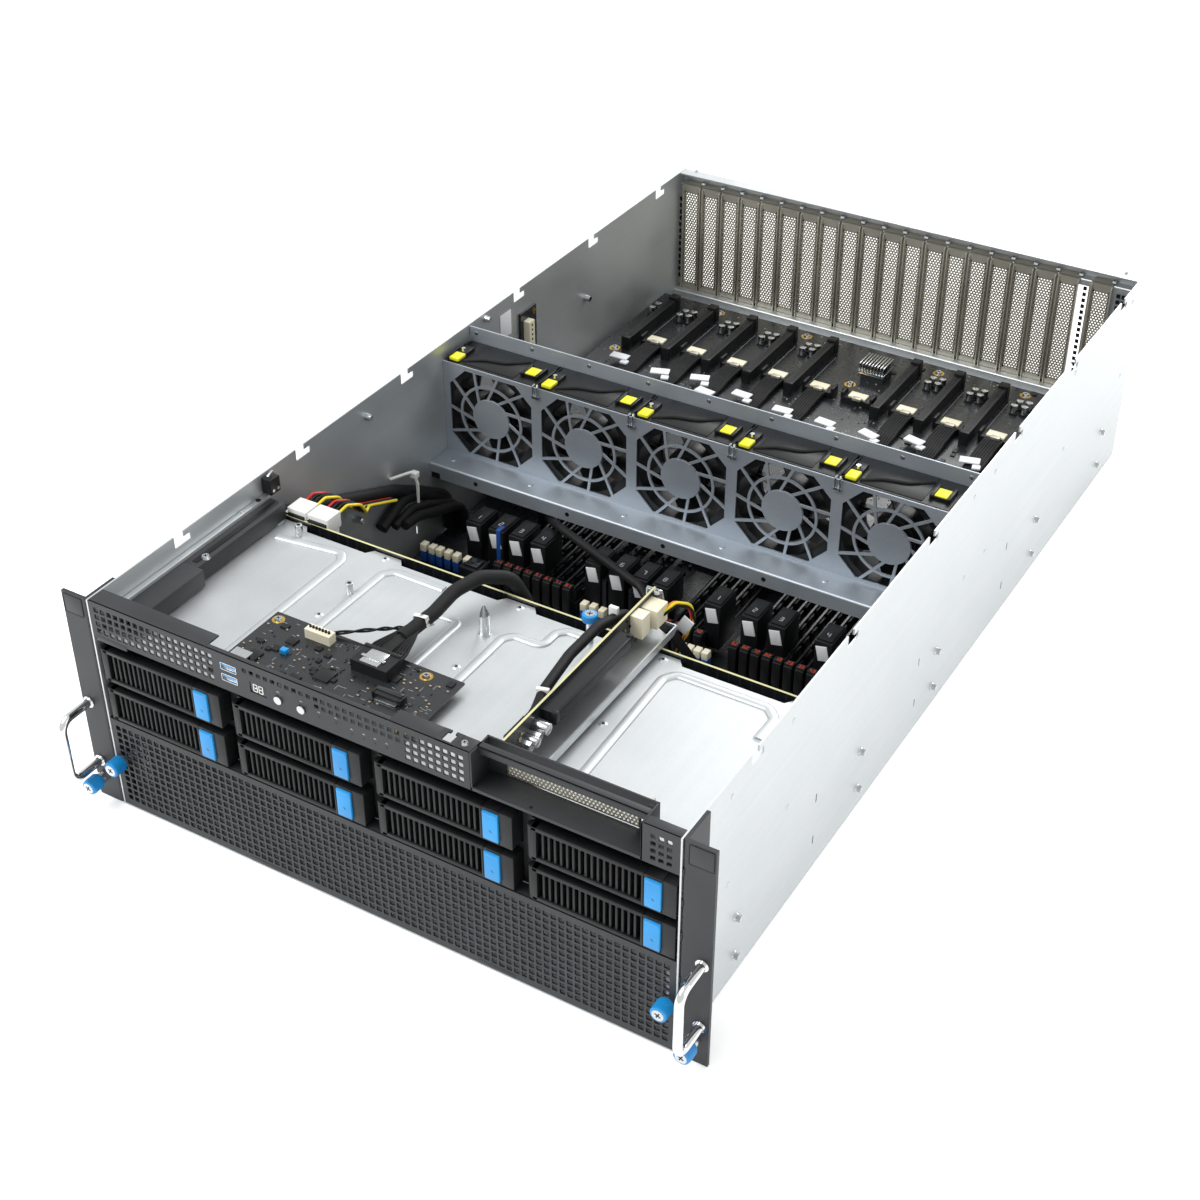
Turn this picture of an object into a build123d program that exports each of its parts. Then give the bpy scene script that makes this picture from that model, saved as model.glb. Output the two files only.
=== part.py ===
from build123d import *
import os
from math import hypot

# Rack server, four units high, with the lid off.
# X is the width, +Y runs from the front panel to the rear, +Z is up, and the
# chassis floor's underside is at Z = 0.

# Overall sizes
chassis_w = 439.5
chassis_h = 174.5
chassis_d = 803.0
cage_depth = 178.0
ear_w = 21.55
rack_w = chassis_w + 2 * ear_w
side_x = chassis_w / 2
sheet = 1.2
thin_sheet = 1.0
floor_lip = 0.5
bend_r = 1.0
gap = 0.3
board_t = 1.6

# Front zones, hung from the top edge
strip_h = 28.3
strip_bottom = chassis_h - strip_h
shelf_top = strip_bottom - 4.2
grille_top = strip_bottom - 69.2
grille_columns = 14
grille_rows = 3
grille_web = 4.6
grille_margin_x = 13.0
grille_margin_z = 7.0
grille_flange = 12.0

# Drive trays
tray_pitch_x = (chassis_w + 3.7) / 4
tray_w = tray_pitch_x - 9.2
tray_h = 26.0
tray_pitch_z = 32.6
tray_row_z = strip_bottom - 55.1
tray_depth = cage_depth - 18.0
tray_wall = 1.6
tray_ledge_w = 4.6
lever_t = 7.0
lever_end = tray_w / 2 - 21.8
lever_bars = 6
bar_w = 3.0
latch_w = 11.0
latch_h = 21.7
latch_x = tray_w / 2 - 15.1
latch_proud = 1.2
latch_t = 3.2
latch_travel = 2.0
window_clear = 0.5
bezel_y = 11.0
bezel_t = 9.0
divider_t = 1.2

# Shelf: cuts from each column's left divider, beads as (from divider, from rear edge)
shelf_cuts = ((39.6, 98.6), (10.8, 97.8), (10.0, 97.0), (10.2, 91.2))
cut_depth = 5.5
bead_w = 4.6
bead_h = 0.8
shelf_beads = (
    (0, ((88.6, 148.0), (88.6, 21.4), (82.0, 11.5), (29.0, 18.8))),
    (1, ((10.4, 148.0), (11.8, 21.0), (17.0, 16.0), (56.2, 16.3))),
    (1, ((88.3, 148.0), (88.5, 42.0), (84.0, 36.4), (69.0, 37.2))),
    (2, ((12.4, 148.0), (11.7, 41.0), (16.0, 35.6), (34.0, 35.6), (38.8, 31.0), (39.0, 18.0), (43.5, 13.4),
         (55.4, 13.4))),
    (3, ((17.0, 148.0), (12.2, 23.5), (17.0, 17.0), (80.1, 17.0), (87.2, 24.0), (86.9, 45.4))),
)

# Input and output strip, placed from the left or the right wall
strip_right = side_x - 142.15
strip_flange = 14.6
strip_mid = chassis_h - 14.5
strip_hole_h = 16.0
notch_left = 98.75 - side_x
notch_right = notch_left + 141.0
notch_depth = 10.2
usb_x = notch_left + 18.0
display_x = usb_x + 22.5
button_xs = (usb_x + 38.7, usb_x + 56.6)
button_z = chassis_h - 18.7
button_r = 3.0
button_gap = 0.35
button_sides = 12
button_proud = 1.4
button_press = 1.2
slot_recess = 20.0
slot_frame_right = side_x - 26.75
front_cover_w = 96.0
front_cover_x = strip_right + 12.0
front_cover_z = strip_bottom + 3.0
io_z = strip_bottom + 1.4
io_rear = 79.5
riser_x = strip_right + 9.6
riser_floor = shelf_top + 4.2
riser_rear = cage_depth + 24.0

# Ears, handles and thumbscrews
ear_t = 2.5
ear_flange = 28.0
handle_x = rack_w / 2 - 6.1
handle_z = 58.2
handle_span = 51.5
handle_reach = 27.5
handle_r = 3.0
handle_bend = 9.0
handle_sides = 8
thumb_x = rack_w / 2 - 8.75
thumb_z = 20.6
thumb_head_r = 5.9
thumb_head_l = 11.0
thumb_shank_r = 2.6
thumb_collar_r = 4.2
thumb_knurls = 12
collar_sides = 8
thumb_clip_t = 1.2
thumb_tail = 11.0
ear_thumb_stand = 7.0
panel_thumb_x = side_x - 6.35
panel_thumb_z = 41.0
panel_thumb_stand = 1.5
panel_thumb_tail = 18.0

# Side walls
hook_ys = (84.0, 216.0, 346.0, 506.0, 626.0, 745.0)
hook_w = 9.0
hook_depth = 9.5
hook_under = 6.5
hook_lip = 4.5
stud_ys = (74.7, 257.5, 389.0, 591.0, 750.0)
stud_zs = (17.0, 50.0)
stud_r = 2.5
stud_l = 3.4
slit_ys = (185.5, 353.5, 524.0)
slit_zs = (26.0, 63.0)

# Fan cage
fan_plate_y = 401.2
fan_floor_z = chassis_h - 95.5
fan_plate_top = chassis_h - 14.0
fan_rear_y = 440.0
fan_rear_top = chassis_h - 1.0
fan_ledge_y = 376.0
fan_lip = 13.0
fan_count = 5
fan_pitch = (chassis_w - 9.5) / fan_count
fan_shift = -2.0
fan_open_w = fan_pitch - 9.0
fan_open_h = 75.0
fan_open_z = chassis_h - 55.2
fan_hub_r = 17.0
fan_spoke_w = 2.2
fan_spokes = 11
fan_body_w = fan_pitch - 1.4
fan_body_z0 = fan_floor_z + gap
fan_body_z1 = chassis_h - 13.5
fan_rim = 2.25
fan_bore_r = min(fan_body_w, fan_body_z1 - fan_body_z0) / 2 - fan_rim
bore_sides = 16
rotor_r = fan_bore_r - 1.2
rotor_hub_r = 18.5
rotor_blades = 7
rotor_sides = 14
rotor_run = 0.4
blade_turn = 32.0
blade_t = 2.2

# GPU bay
deck_top = 47.0
crossbar_top = 58.5
deck_front = 455.0
gpu_board_z = 64.4
gpu_board_front = 470.0
gpu_board_rear = 758.0
gpu_board_w = chassis_w - 11.5
card_pitch = 40.64
card_first_x = 29.15 - side_x
card_places = (0, 1, 2, 3, 4, 6, 7, 8)
socket_w = 7.5
socket_l = 89.0
socket_h = 11.2
socket_front = 644.0

# Rear wall
ledge_z = chassis_h - 11.0
rear_wall_y = chassis_d - 10.0
rear_lower_top = 46.0
cover_count = 19
cover_first = 4.15 - side_x
last_cover_x = side_x - 40.35
cover_pitch = (last_cover_x - 8.92 - cover_first) / cover_count
cover_w = cover_pitch - 1.92
cover_tab = 9.4
cover_bottom = 52.0
top_flange = 13.0

# Power supplies
psu_w = 73.5
psu_h = 40.0
psu_pitch = 76.2
psu_count = 4
psu_depth = 185.0
psu_z0 = 2.0
psu_handle = 16.0
psu_strap_t = 2.4
psu_strap_w = 8.0
psu_right = side_x - 19.75
psu_bay_front = 610.0
vent_count = 3

# Mainboard well
mainboard_z = 8.0
mainboard_front = 196.0
mainboard_rear = 590.0
mainboard_w = chassis_w - 13.5
memory_pitch = 9.1
memory_front = 330.0
memory_len = 142.0
fin_pitch = 12.0
backplane_y = cage_depth + 1.0
backplane_top = shelf_top + 2.5
backplane_bottom = grille_top - 11.0

# Cables
sleeve_r = 4.4
riser_cable_r = 3.2
bundle_r = 4.6
cable_sides = 6
cable_seat = backplane_top - 32.5
sleeve_end_x = usb_x + 98.0
riser_cable_end_x = riser_x - 10.2


def place_front(y):
    """Plane facing the front at depth y, with local axes X and Z."""
    return Plane(origin=(0, y, 0), x_dir=(1, 0, 0), z_dir=(0, -1, 0))


def place_side(x):
    """Plane facing +X at x, with local axes Y and Z."""
    return Plane(origin=(x, 0, 0), x_dir=(0, 1, 0), z_dir=(1, 0, 0))


def span(x0, x1, z0, z1):
    """Rectangle from one corner to the other."""
    return Pos((x0 + x1) / 2, (z0 + z1) / 2) * Rectangle(x1 - x0, z1 - z0)


def slab(x0, x1, y0, y1, z0, z1):
    """Rectangular solid from one corner to the other."""
    centre = Pos((x0 + x1) / 2, (y0 + y1) / 2, (z0 + z1) / 2)
    return centre * Box(x1 - x0, y1 - y0, z1 - z0)


def front_sheet(profile, y, t):
    """Sheet cut to a profile in X and Z, from y to y + t."""
    return extrude(place_front(y) * profile, amount=-t)


def side_sheet(profile, x, t):
    """Sheet cut to a profile in Y and Z, from x to x + t."""
    return extrude(place_side(x) * profile, amount=t)


def flat_sheet(profile, z, t):
    """Sheet cut to a profile in X and Y, from z to z + t."""
    return extrude(Plane.XY.offset(z) * profile, amount=t)


def bent(points, t, r=bend_r):
    """Outline of a bent sheet, or a mitred one with r = 0: points follow one face, t lies to their left."""
    steps = [(b[0] - a[0], b[1] - a[1]) for a, b in zip(points, points[1:])]
    units = [(dx / hypot(dx, dy), dy / hypot(dx, dy)) for dx, dy in steps]
    offset_side = []
    near_radii = []
    far_radii = []
    for i, (px, py) in enumerate(points):
        before = units[max(i - 1, 0)]
        after = units[min(i, len(units) - 1)]
        nx = -before[1] - after[1]
        ny = before[0] + after[0]
        scale = 2 * t / (nx * nx + ny * ny)
        offset_side.append((px + nx * scale, py + ny * scale))
        turn = before[0] * after[1] - before[1] * after[0]
        if abs(turn) < 0.01:
            near_radii.append(0)
            far_radii.append(0)
        elif turn * t > 0:
            near_radii.append(r + abs(t))
            far_radii.append(r)
        else:
            near_radii.append(r)
            far_radii.append(r + abs(t))
    outline = points + offset_side[::-1]
    if r == 0:
        return make_face(Polyline(*outline, close=True))
    radii = near_radii + far_radii[::-1]
    return make_face(FilletPolyline(*outline, radius=radii, close=True))


def grid(x, z, pitch_x, pitch_z, columns, rows, shape):
    """Copies of a sketch on a centred grid."""
    copies = []
    for i in range(columns):
        for j in range(rows):
            dx = (i - (columns - 1) / 2) * pitch_x
            dz = (j - (rows - 1) / 2) * pitch_z
            copies.append(Pos(x + dx, z + dz) * shape)
    return copies


def rod(x, y, z, r, length, axis, sides=0):
    """Round rod from a point along an axis, or a prism with this many sides."""
    section = RegularPolygon(r, sides) if sides else Circle(r)
    return extrude(Plane(origin=(x, y, z), z_dir=axis) * section, amount=length)


def join(parts):
    """One solid from several that overlap or touch."""
    whole = parts[0]
    for part in parts[1:]:
        whole = whole + part
    return whole


def group(parts):
    """Separate solids kept in one node."""
    return Compound(children=[Part(s.wrapped) for p in parts for s in p.solids()])


# Chassis

def side_wall_profile():
    """Side wall in Y and Z with the lid's hook notches and the vent slits."""
    wall = span(0, chassis_d, 0, chassis_h)
    notch = Polyline(
        (0, chassis_h + 1),
        (0, chassis_h - hook_depth),
        (hook_w + hook_under, chassis_h - hook_depth),
        (hook_w + hook_under, chassis_h - hook_lip),
        (hook_w, chassis_h - hook_lip),
        (hook_w, chassis_h + 1),
        close=True,
    )
    for y in hook_ys:
        wall = wall - Pos(y, 0) * make_face(notch)
    for y in slit_ys:
        for z in slit_zs:
            wall = wall - Pos(y, z) * Rectangle(1.6, 7.0)
    return wall


def chassis_shell():
    """Floor, side walls, stepped foot flange and rail studs."""
    half = chassis_w / 2
    floor = flat_sheet(span(-half, half, -floor_lip, chassis_d - sheet - gap), 0, sheet)
    parts = [floor]
    parts.append(side_sheet(side_wall_profile(), -half, sheet))
    parts.append(side_sheet(side_wall_profile(), half - sheet, sheet))
    for side in (-1, 1):
        start = side * (half - sheet / 2)
        for y in stud_ys:
            sides = 0 if y in (stud_ys[0], stud_ys[-1]) else 6
            for z in stud_zs:
                parts.append(rod(start, y, z, stud_r, stud_l + sheet / 2, (side, 0, 0), sides))
        tab_x = side * (half - sheet - 7.0)
        tab = slab(tab_x - 7.0, tab_x + 7.0, 14.2, 14.2 + sheet, sheet - 0.2, 50.0)
        hole = rod(side * panel_thumb_x, 10, panel_thumb_z, thumb_shank_r + 0.4, 10, (0, 1, 0), collar_sides)
        parts.append(tab - hole)
    return join(parts)


# Rear

def cover_lefts():
    """Left edges of the rear slot covers."""
    lefts = [cover_first + cover_pitch * i for i in range(cover_count)]
    return lefts + [last_cover_x]


def psu_centres():
    """X centres of the power supply bays."""
    first = psu_right - psu_w / 2 - psu_pitch * (psu_count - 1)
    return [first + psu_pitch * i for i in range(psu_count)]


def rear_frame():
    """Stepped rear wall, ledge, top strip, crossbar, deck and supply bays."""
    half = chassis_w / 2 - sheet - gap / 2
    top = bent(
        [
            (chassis_d - top_flange, chassis_h - sheet),
            (chassis_d - sheet, chassis_h - sheet),
            (chassis_d - sheet, ledge_z),
            (rear_wall_y + sheet, ledge_z),
            (rear_wall_y + sheet, rear_lower_top - sheet),
            (chassis_d - sheet, rear_lower_top - sheet),
            (chassis_d - sheet, sheet),
        ],
        sheet,
        0.4,
    )
    wall = extrude(place_side(-half) * top, amount=2 * half)
    windows = []
    lefts = cover_lefts()
    for left, right in zip(lefts[::2], lefts[1::2]):
        windows.append(span(left + 2.4, right + cover_w - 2.4, cover_bottom + 12, ledge_z - 6))
    for x in psu_centres():
        windows.append(span(x - psu_w / 2 - gap, x + psu_w / 2 + gap, 0, psu_z0 + psu_h + gap))
    vents = psu_centres()[0] - psu_pitch / 2 + half
    vent_z = psu_z0 + psu_h / 2
    for i in range(vent_count):
        x = -half + vents * (i + 0.5) / vent_count
        windows.append(Pos(x, vent_z) * Rectangle(vents / vent_count - 10, 30))
    for window in windows:
        wall = wall - extrude(place_front(rear_wall_y - 5) * window, amount=-20)
    deck = bent([(deck_front, deck_top - 12), (deck_front, deck_top), (rear_wall_y, deck_top)], -sheet, 0.4)
    bar_y = rear_wall_y - 9
    bar = bent([(bar_y, deck_top), (bar_y, crossbar_top), (bar_y + 7.4, crossbar_top)], -sheet, 0.4)
    parts = [wall, extrude(place_side(-half) * deck, amount=2 * half)]
    parts.append(extrude(place_side(-half) * bar, amount=2 * half))
    edges = [x - psu_pitch / 2 for x in psu_centres()]
    edges.append(edges[-1] + psu_pitch)
    for x in edges:
        parts.append(slab(x - 0.5, x + 0.5, psu_bay_front, rear_wall_y, sheet, deck_top - sheet))
    return group(parts)


def slot_cover(height, hole_rows):
    """One perforated cover, its bent tab at the top, standing on its tongue."""
    profile = span(0, thin_sheet, 0, height) + span(0, cover_tab, height - thin_sheet, height)
    cover = extrude(place_side(0) * profile, amount=cover_w)
    hole = Rectangle(cover_w * 0.47, height / (hole_rows + 0.6) - 8)
    slots = grid(cover_w / 2, height / 2, 1, height / (hole_rows + 0.6), 1, hole_rows, hole)
    return cover - [front_sheet(slot, -4, 8) for slot in slots]


def slot_covers():
    """Twenty rear covers and the one in the front card slot."""
    height = ledge_z + thin_sheet - cover_bottom
    rear = slot_cover(height, 2)
    parts = []
    for left in cover_lefts():
        parts.append(Pos(left, rear_wall_y - thin_sheet, cover_bottom) * rear)
    front = slot_cover(front_cover_w, 3)
    turned = Rot(0, 90, 0) * front
    box = turned.bounding_box()
    shift = Pos(front_cover_x - box.min.X, slot_recess - box.min.Y, front_cover_z - box.min.Z)
    parts.append(shift * turned)
    return group(parts)


# Drive cage and trays

def tray_centres():
    """X and Z centres of the eight trays, from the lower left."""
    places = []
    for row in range(2):
        for column in range(4):
            places.append(((column - 1.5) * tray_pitch_x, tray_row_z + row * tray_pitch_z))
    return places


def drive_cage():
    """Beaded top shelf with rear cut-outs, tray floors, dividers, side flanges."""
    half = chassis_w / 2 - sheet - gap / 2
    front = bezel_y + bezel_t + gap
    shelf = span(-half, half, front, cage_depth)
    dividers = [(i - 2) * tray_pitch_x for i in range(4)]
    for x, (x0, x1) in zip(dividers, shelf_cuts):
        cut = Polyline((x0 - 1, 1), (x0 + 4, -cut_depth), (x1 - 4, -cut_depth), (x1 + 1, 1), close=True)
        shelf = shelf - Pos(x, cage_depth) * make_face(cut)
    parts = [flat_sheet(shelf, shelf_top - thin_sheet, thin_sheet)]
    for column, points in shelf_beads:
        path = [(dividers[column] + x, cage_depth - back) for x, back in points]
        parts.append(flat_sheet(bent(path, bead_w, 0), shelf_top - 0.1, bead_h + 0.1))
    for z in (tray_row_z, tray_row_z + tray_pitch_z):
        floor_top = z - tray_h / 2 - gap
        parts.append(slab(-half, half, front, cage_depth, floor_top - thin_sheet, floor_top))
    bottom = tray_row_z - tray_h / 2 - gap - thin_sheet
    for x in dividers[1:]:
        parts.append(slab(x - divider_t / 2, x + divider_t / 2, front, cage_depth, bottom + 0.2, shelf_top - 0.2))
    for side in (-1, 1):
        edge = side * half
        inner = edge - side * thin_sheet
        parts.append(slab(min(edge, inner), max(edge, inner), front, cage_depth, bottom, shelf_top))
    return join(parts)


def cage_bezel():
    """Black frame round the trays, with bevelled window edges."""
    half = chassis_w / 2 - sheet - gap / 2
    frame = span(-half, half, grille_top + gap, strip_bottom - gap)
    for x, z in tray_centres():
        opening = Rectangle(tray_w + 2 * window_clear, tray_h + 2 * window_clear)
        frame = frame - Pos(x, z) * opening
    return front_sheet(frame, bezel_y, bezel_t)


def tray_carrier():
    """Tray at the origin: latch block, inner front wall, rails and cross bar."""
    half_w = tray_w / 2
    half_h = tray_h / 2
    block = span(lever_end + gap, half_w, -half_h, half_h)
    pocket = Pos(latch_x, 0) * Rectangle(latch_w + 2 * gap, latch_h + 2 * gap)
    depth = 22.0
    parts = [front_sheet(block, 0, depth)]
    parts[0] = chamfer(parts[0].edges().group_by(Axis.Y)[0], 0.8)
    parts[0] = parts[0] - front_sheet(pocket, -1, 1 + latch_t + latch_travel + gap)
    wall = span(-half_w, lever_end + gap + 1, -half_h, half_h)
    vents = grid(-9, 0, 35.0, 1, 2, 1, Rectangle(29.0, tray_h - 9))
    parts.append(front_sheet(wall - vents, lever_t + gap, 3.0))
    for side in (-1, 1):
        edge = side * half_w
        lip = edge - side * tray_ledge_w
        foot = span(min(edge, lip), max(edge, lip), -half_h, tray_wall - half_h)
        upright = span(min(edge, edge - side * tray_wall), max(edge, edge - side * tray_wall), -half_h, half_h - 4)
        start = lever_t + gap + 2.0
        parts.append(front_sheet(foot + upright, start, tray_depth - start))
    bar = span(-half_w + 0.5, half_w - 0.5, -half_h, -half_h + 8)
    parts.append(front_sheet(bar, tray_depth - 6, 6))
    return join(parts)


def tray_lever():
    """Swing lever at the tray's origin: a frame with upright bars."""
    half_w = tray_w / 2
    half_h = tray_h / 2
    body = span(-half_w, lever_end, -half_h, half_h)
    lever = front_sheet(body, 0, lever_t)
    pivot_edges = lever.edges().filter_by(Axis.Z).sort_by(Axis.X)[:2]
    lever = chamfer(pivot_edges, lever_t * 0.3)
    left = -half_w + 8.5
    right = lever_end - 2.0
    pitch = (right - left + bar_w) / lever_bars
    slots = grid((left + right) / 2, 0, pitch, 1, lever_bars, 1, Rectangle(pitch - bar_w, tray_h - 5.0))
    return lever - [front_sheet(slot, -1, lever_t + 2) for slot in slots]


def tray_latch():
    """Blue latch button at the tray's origin."""
    button = front_sheet(Pos(latch_x, 0) * Rectangle(latch_w, latch_h), -latch_proud, latch_proud + latch_t)
    return chamfer(button.edges().group_by(Axis.Y)[0], 0.4)


# Front panels

def front_panels():
    """Black strip with its flange, and the recessed frame of the card slot."""
    half = chassis_w / 2 - sheet - gap / 2
    top = chassis_h
    face = span(-half, strip_right, strip_bottom, top)
    hole = Rectangle(12.8, strip_hole_h)
    holes = grid(54.75 - side_x, strip_mid, 15.6, 1, 6, 1, hole)
    holes.extend(grid(strip_right - 24.0, strip_mid, 15.6, 1, 2, 1, hole))
    holes.extend(grid(usb_x, chassis_h - 13.8, 1, 8.6, 1, 2, Rectangle(13.2, 5.8)))
    holes.append(Pos(display_x, chassis_h - 16.7) * Rectangle(13.0, 8.6))
    for x in button_xs:
        holes.append(Pos(x, button_z) * RegularPolygon(button_r + button_gap, button_sides))
    face = face - holes
    strip = front_sheet(face, 0, sheet)
    flange = span(-half, strip_right, 0.1, strip_flange)
    flange = flange - span(notch_left, notch_right, strip_flange - notch_depth, strip_flange + 1)
    keyhole = Pos(strip_right - 17.8, 7.0) * (Circle(3.4) + Pos(0, 4.4) * Rectangle(3.4, 8.0))
    flange = flange - keyhole
    strip = strip + flat_sheet(flange, top - sheet, sheet)
    strip = strip + slab(-half, strip_right, 0.1, bezel_y - gap, strip_bottom, strip_bottom + sheet)
    left = strip_right + gap
    plate = span(slot_frame_right, half, strip_bottom, top)
    plate = plate - grid(side_x - 13.75, chassis_h - 15.5, 5.4, 1, 3, 1, Rectangle(3.6, 21.0))
    pieces = [front_sheet(plate, 0, sheet)]
    pieces.append(slab(left, left + sheet, 0, slot_recess, strip_bottom, top))
    pieces.append(slab(slot_frame_right, slot_frame_right + sheet, 0, slot_recess, strip_bottom, top))
    sill = strip_bottom + 2.4
    sill_profile = bent([(0, strip_bottom), (0, sill), (slot_recess, sill)], -sheet, 0)
    pieces.append(extrude(place_side(left) * sill_profile, amount=slot_frame_right - left + sheet))
    bar_profile = bent([(7.5, top - 5.0), (7.5, top), (13.0, top)], -sheet, 0)
    pieces.append(extrude(place_side(left) * bar_profile, amount=slot_frame_right - left))
    back = span(left, slot_frame_right + sheet, strip_bottom, top)
    window = front_cover_x + 2.4
    back = back - span(window, window + front_cover_w - 8, front_cover_z + 1.2, front_cover_z + 17.2)
    pieces.append(front_sheet(back, slot_recess - sheet, sheet))
    frame = join(pieces)
    return group([strip, frame])


def front_button(x):
    """Round push button with a collar behind the panel."""
    cap = rod(x, -button_proud, button_z, button_r, 5.4, (0, 1, 0), button_sides)
    collar = rod(x, sheet + gap, button_z, button_r + 1.2, 1.4, (0, 1, 0), button_sides)
    return cap + collar


def front_grille():
    """Lower front panel: square perforation, folded top and side flanges."""
    half = chassis_w / 2 - sheet - gap
    bottom = sheet + gap
    face = span(-half, half, bottom, grille_top)
    pitch_x = (2 * half - 2 * grille_margin_x + grille_web) / grille_columns
    pitch_z = (grille_top - bottom - 2 * grille_margin_z + grille_web) / grille_rows
    hole = Rectangle(pitch_x - grille_web, pitch_z - grille_web)
    centre_z = (bottom + grille_top) / 2
    face = face - grid(0, centre_z, pitch_x, pitch_z, grille_columns, grille_rows, hole)
    for side in (-1, 1):
        face = face - Pos(side * panel_thumb_x, panel_thumb_z) * RegularPolygon(thumb_shank_r + 0.4, collar_sides)
    panel = front_sheet(face, 0, sheet)
    for side in (-1, 1):
        edge = side * half
        inner = edge - side * sheet
        panel = panel + slab(min(edge, inner), max(edge, inner), 0.2, grille_flange, bottom + 2, grille_top)
    panel = panel + slab(-half, half, 0.2, bezel_y - gap, grille_top - sheet, grille_top)
    return panel


def thumbscrew(x, z, stand, tail, sides=0):
    """Knurled head standing off the panel, with its shank."""
    head = rod(x, -stand - thumb_head_l, z, thumb_head_r, thumb_head_l, (0, 1, 0), thumb_knurls)
    head = chamfer(head.edges().group_by(Axis.Y)[0], 0.7)
    collar = rod(x, -stand - 0.2, z, thumb_collar_r, stand + 0.2, (0, 1, 0), collar_sides)
    shank = rod(x, -0.2, z, thumb_shank_r, tail + 0.2, (0, 1, 0), sides)
    return head + collar + shank


def grille_thumbscrews():
    """Two captive screws that hold the lower grille."""
    screws = []
    for side in (-1, 1):
        x = side * panel_thumb_x
        screws.append(thumbscrew(x, panel_thumb_z, panel_thumb_stand, panel_thumb_tail, collar_sides))
    return group(screws)


def rack_ears():
    """Two angle brackets with rack holes and handle feet."""
    ears = []
    for side in (-1, 1):
        wall = side * (chassis_w / 2)
        profile = bent([(side * rack_w / 2, 0.0), (wall, 0.0), (wall, ear_flange)], -side * ear_t, 0.4)
        ear = extrude(Plane.XY * profile, amount=chassis_h)
        cutter = rod(side * thumb_x, -2, thumb_z, thumb_shank_r + 0.4, ear_t + 4, (0, 1, 0), collar_sides)
        ears.append(ear - cutter)
    return group(ears)


def pull_handles():
    """Two bright round-bar handles."""
    low = handle_z - handle_span / 2
    high = handle_z + handle_span / 2
    handles = []
    for side in (-1, 1):
        x = side * handle_x
        path = FilletPolyline(
            (x, 0, high), (x, -handle_reach, high), (x, -handle_reach, low), (x, 0, low),
            radius=handle_bend,
        )
        start = Plane(origin=(x, 0, high), z_dir=(0, -1, 0))
        handles.append(sweep(start * RegularPolygon(handle_r, handle_sides), path=path))
    return group(handles)


def thumbscrews():
    """The two screws that hold the ears to the rack, each kept by a clip."""
    screws = []
    for side in (-1, 1):
        clip = rod(side * thumb_x, ear_t, thumb_z, thumb_collar_r, thumb_clip_t, (0, 1, 0), collar_sides)
        screws.append(thumbscrew(side * thumb_x, thumb_z, ear_thumb_stand, thumb_tail) + clip)
    return group(screws)


# Boards

def drive_backplane():
    """Upright board behind the trays, with air cut-outs and drive sockets."""
    half = chassis_w / 2 - sheet - 3
    board = span(-half, half, backplane_bottom, backplane_top)
    for x, z in tray_centres():
        board = board - Pos(x + 14, z) * Rectangle(42, 14)
    parts = [front_sheet(board, backplane_y, board_t)]
    for x, z in tray_centres():
        parts.append(slab(x - 44, x - 12, backplane_y - 9, backplane_y, z - 4, z + 4))
    rear = backplane_y + board_t
    plug_top = backplane_top + 1.5
    for x in (23.75 - side_x, 43.75 - side_x):
        parts.append(slab(x - 8, x + 8, rear, rear + 15.4, plug_top - 18.0, plug_top))
    for x in (sleeve_end_x, riser_cable_end_x):
        parts.append(slab(x - 8, x + 8, rear, rear + 16.0, cable_seat - 14.0, cable_seat))
    return join(parts)


def io_board():
    """Board behind the strip, with its stacked socket, plugs and standoffs."""
    left = usb_x - 26.0
    right = usb_x + 123.0
    outline = span(left, right, 9.0, io_rear) + span(left + 13.0, right - 8.0, 2.0, 9.2)
    board = flat_sheet(outline, io_z, board_t)
    top = io_z + board_t
    parts = [board]
    parts.append(slab(usb_x - 6.4, usb_x + 6.4, 1.5, 17.0, top, chassis_h - 5.9))
    parts.append(slab(display_x - 6.2, display_x + 6.2, 2.0, 9.0, top, chassis_h - 12.5))
    for x in button_xs:
        parts.append(slab(x - 4.0, x + 4.0, 4.0 + button_press + gap, 13.0, top, chassis_h - 14.5))
    parts.append(slab(usb_x + 7.0, usb_x + 27.0, 66.0, 73.0, top, top + 7.0))
    parts.append(slab(usb_x + 53.0, usb_x + 81.0, 54.0, 72.0, top, top + 8.5))
    parts.append(slab(usb_x + 83.0, usb_x + 101.0, 38.0, 45.0, top, top + 4.5))
    for x in (left + 6.0, right - 24.5):
        parts.append(rod(x, 72.5, shelf_top, 2.6, io_z - shelf_top, (0, 0, 1), 6))
    return join(parts)


def card_riser():
    """Upright card with its long card socket and capacitors."""
    low = riser_floor + 0.8
    outline = span(slot_recess + 0.6, riser_rear, low, chassis_h - 0.9)
    board = side_sheet(outline, riser_x, board_t)
    face = riser_x + board_t
    parts = [board]
    groove = slab(face + 4.0, face + 12, 66.0, 146.0, low + 18.6, low + 20.4)
    parts.append(slab(face, face + 11.2, 60.6, 152.2, low + 15.6, low + 23.4) - groove)
    for y, r in ((38.0, 3.6), (48.0, 3.0)):
        parts.append(rod(face, y, low + 13.0, r, 8.0, (1, 0, 0), collar_sides))
    parts.append(slab(face, face + 9, riser_rear - 34.0, riser_rear - 24.0, low + 9.0, low + 25.0))
    parts.append(slab(face, face + 12, riser_rear - 20.0, riser_rear - 6.0, low + 9.0, low + 23.0))
    parts.append(slab(riser_x - 5.2, riser_x, 30.0, 52.0, low + 10.0, low + 21.0))
    return join(parts)


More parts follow.
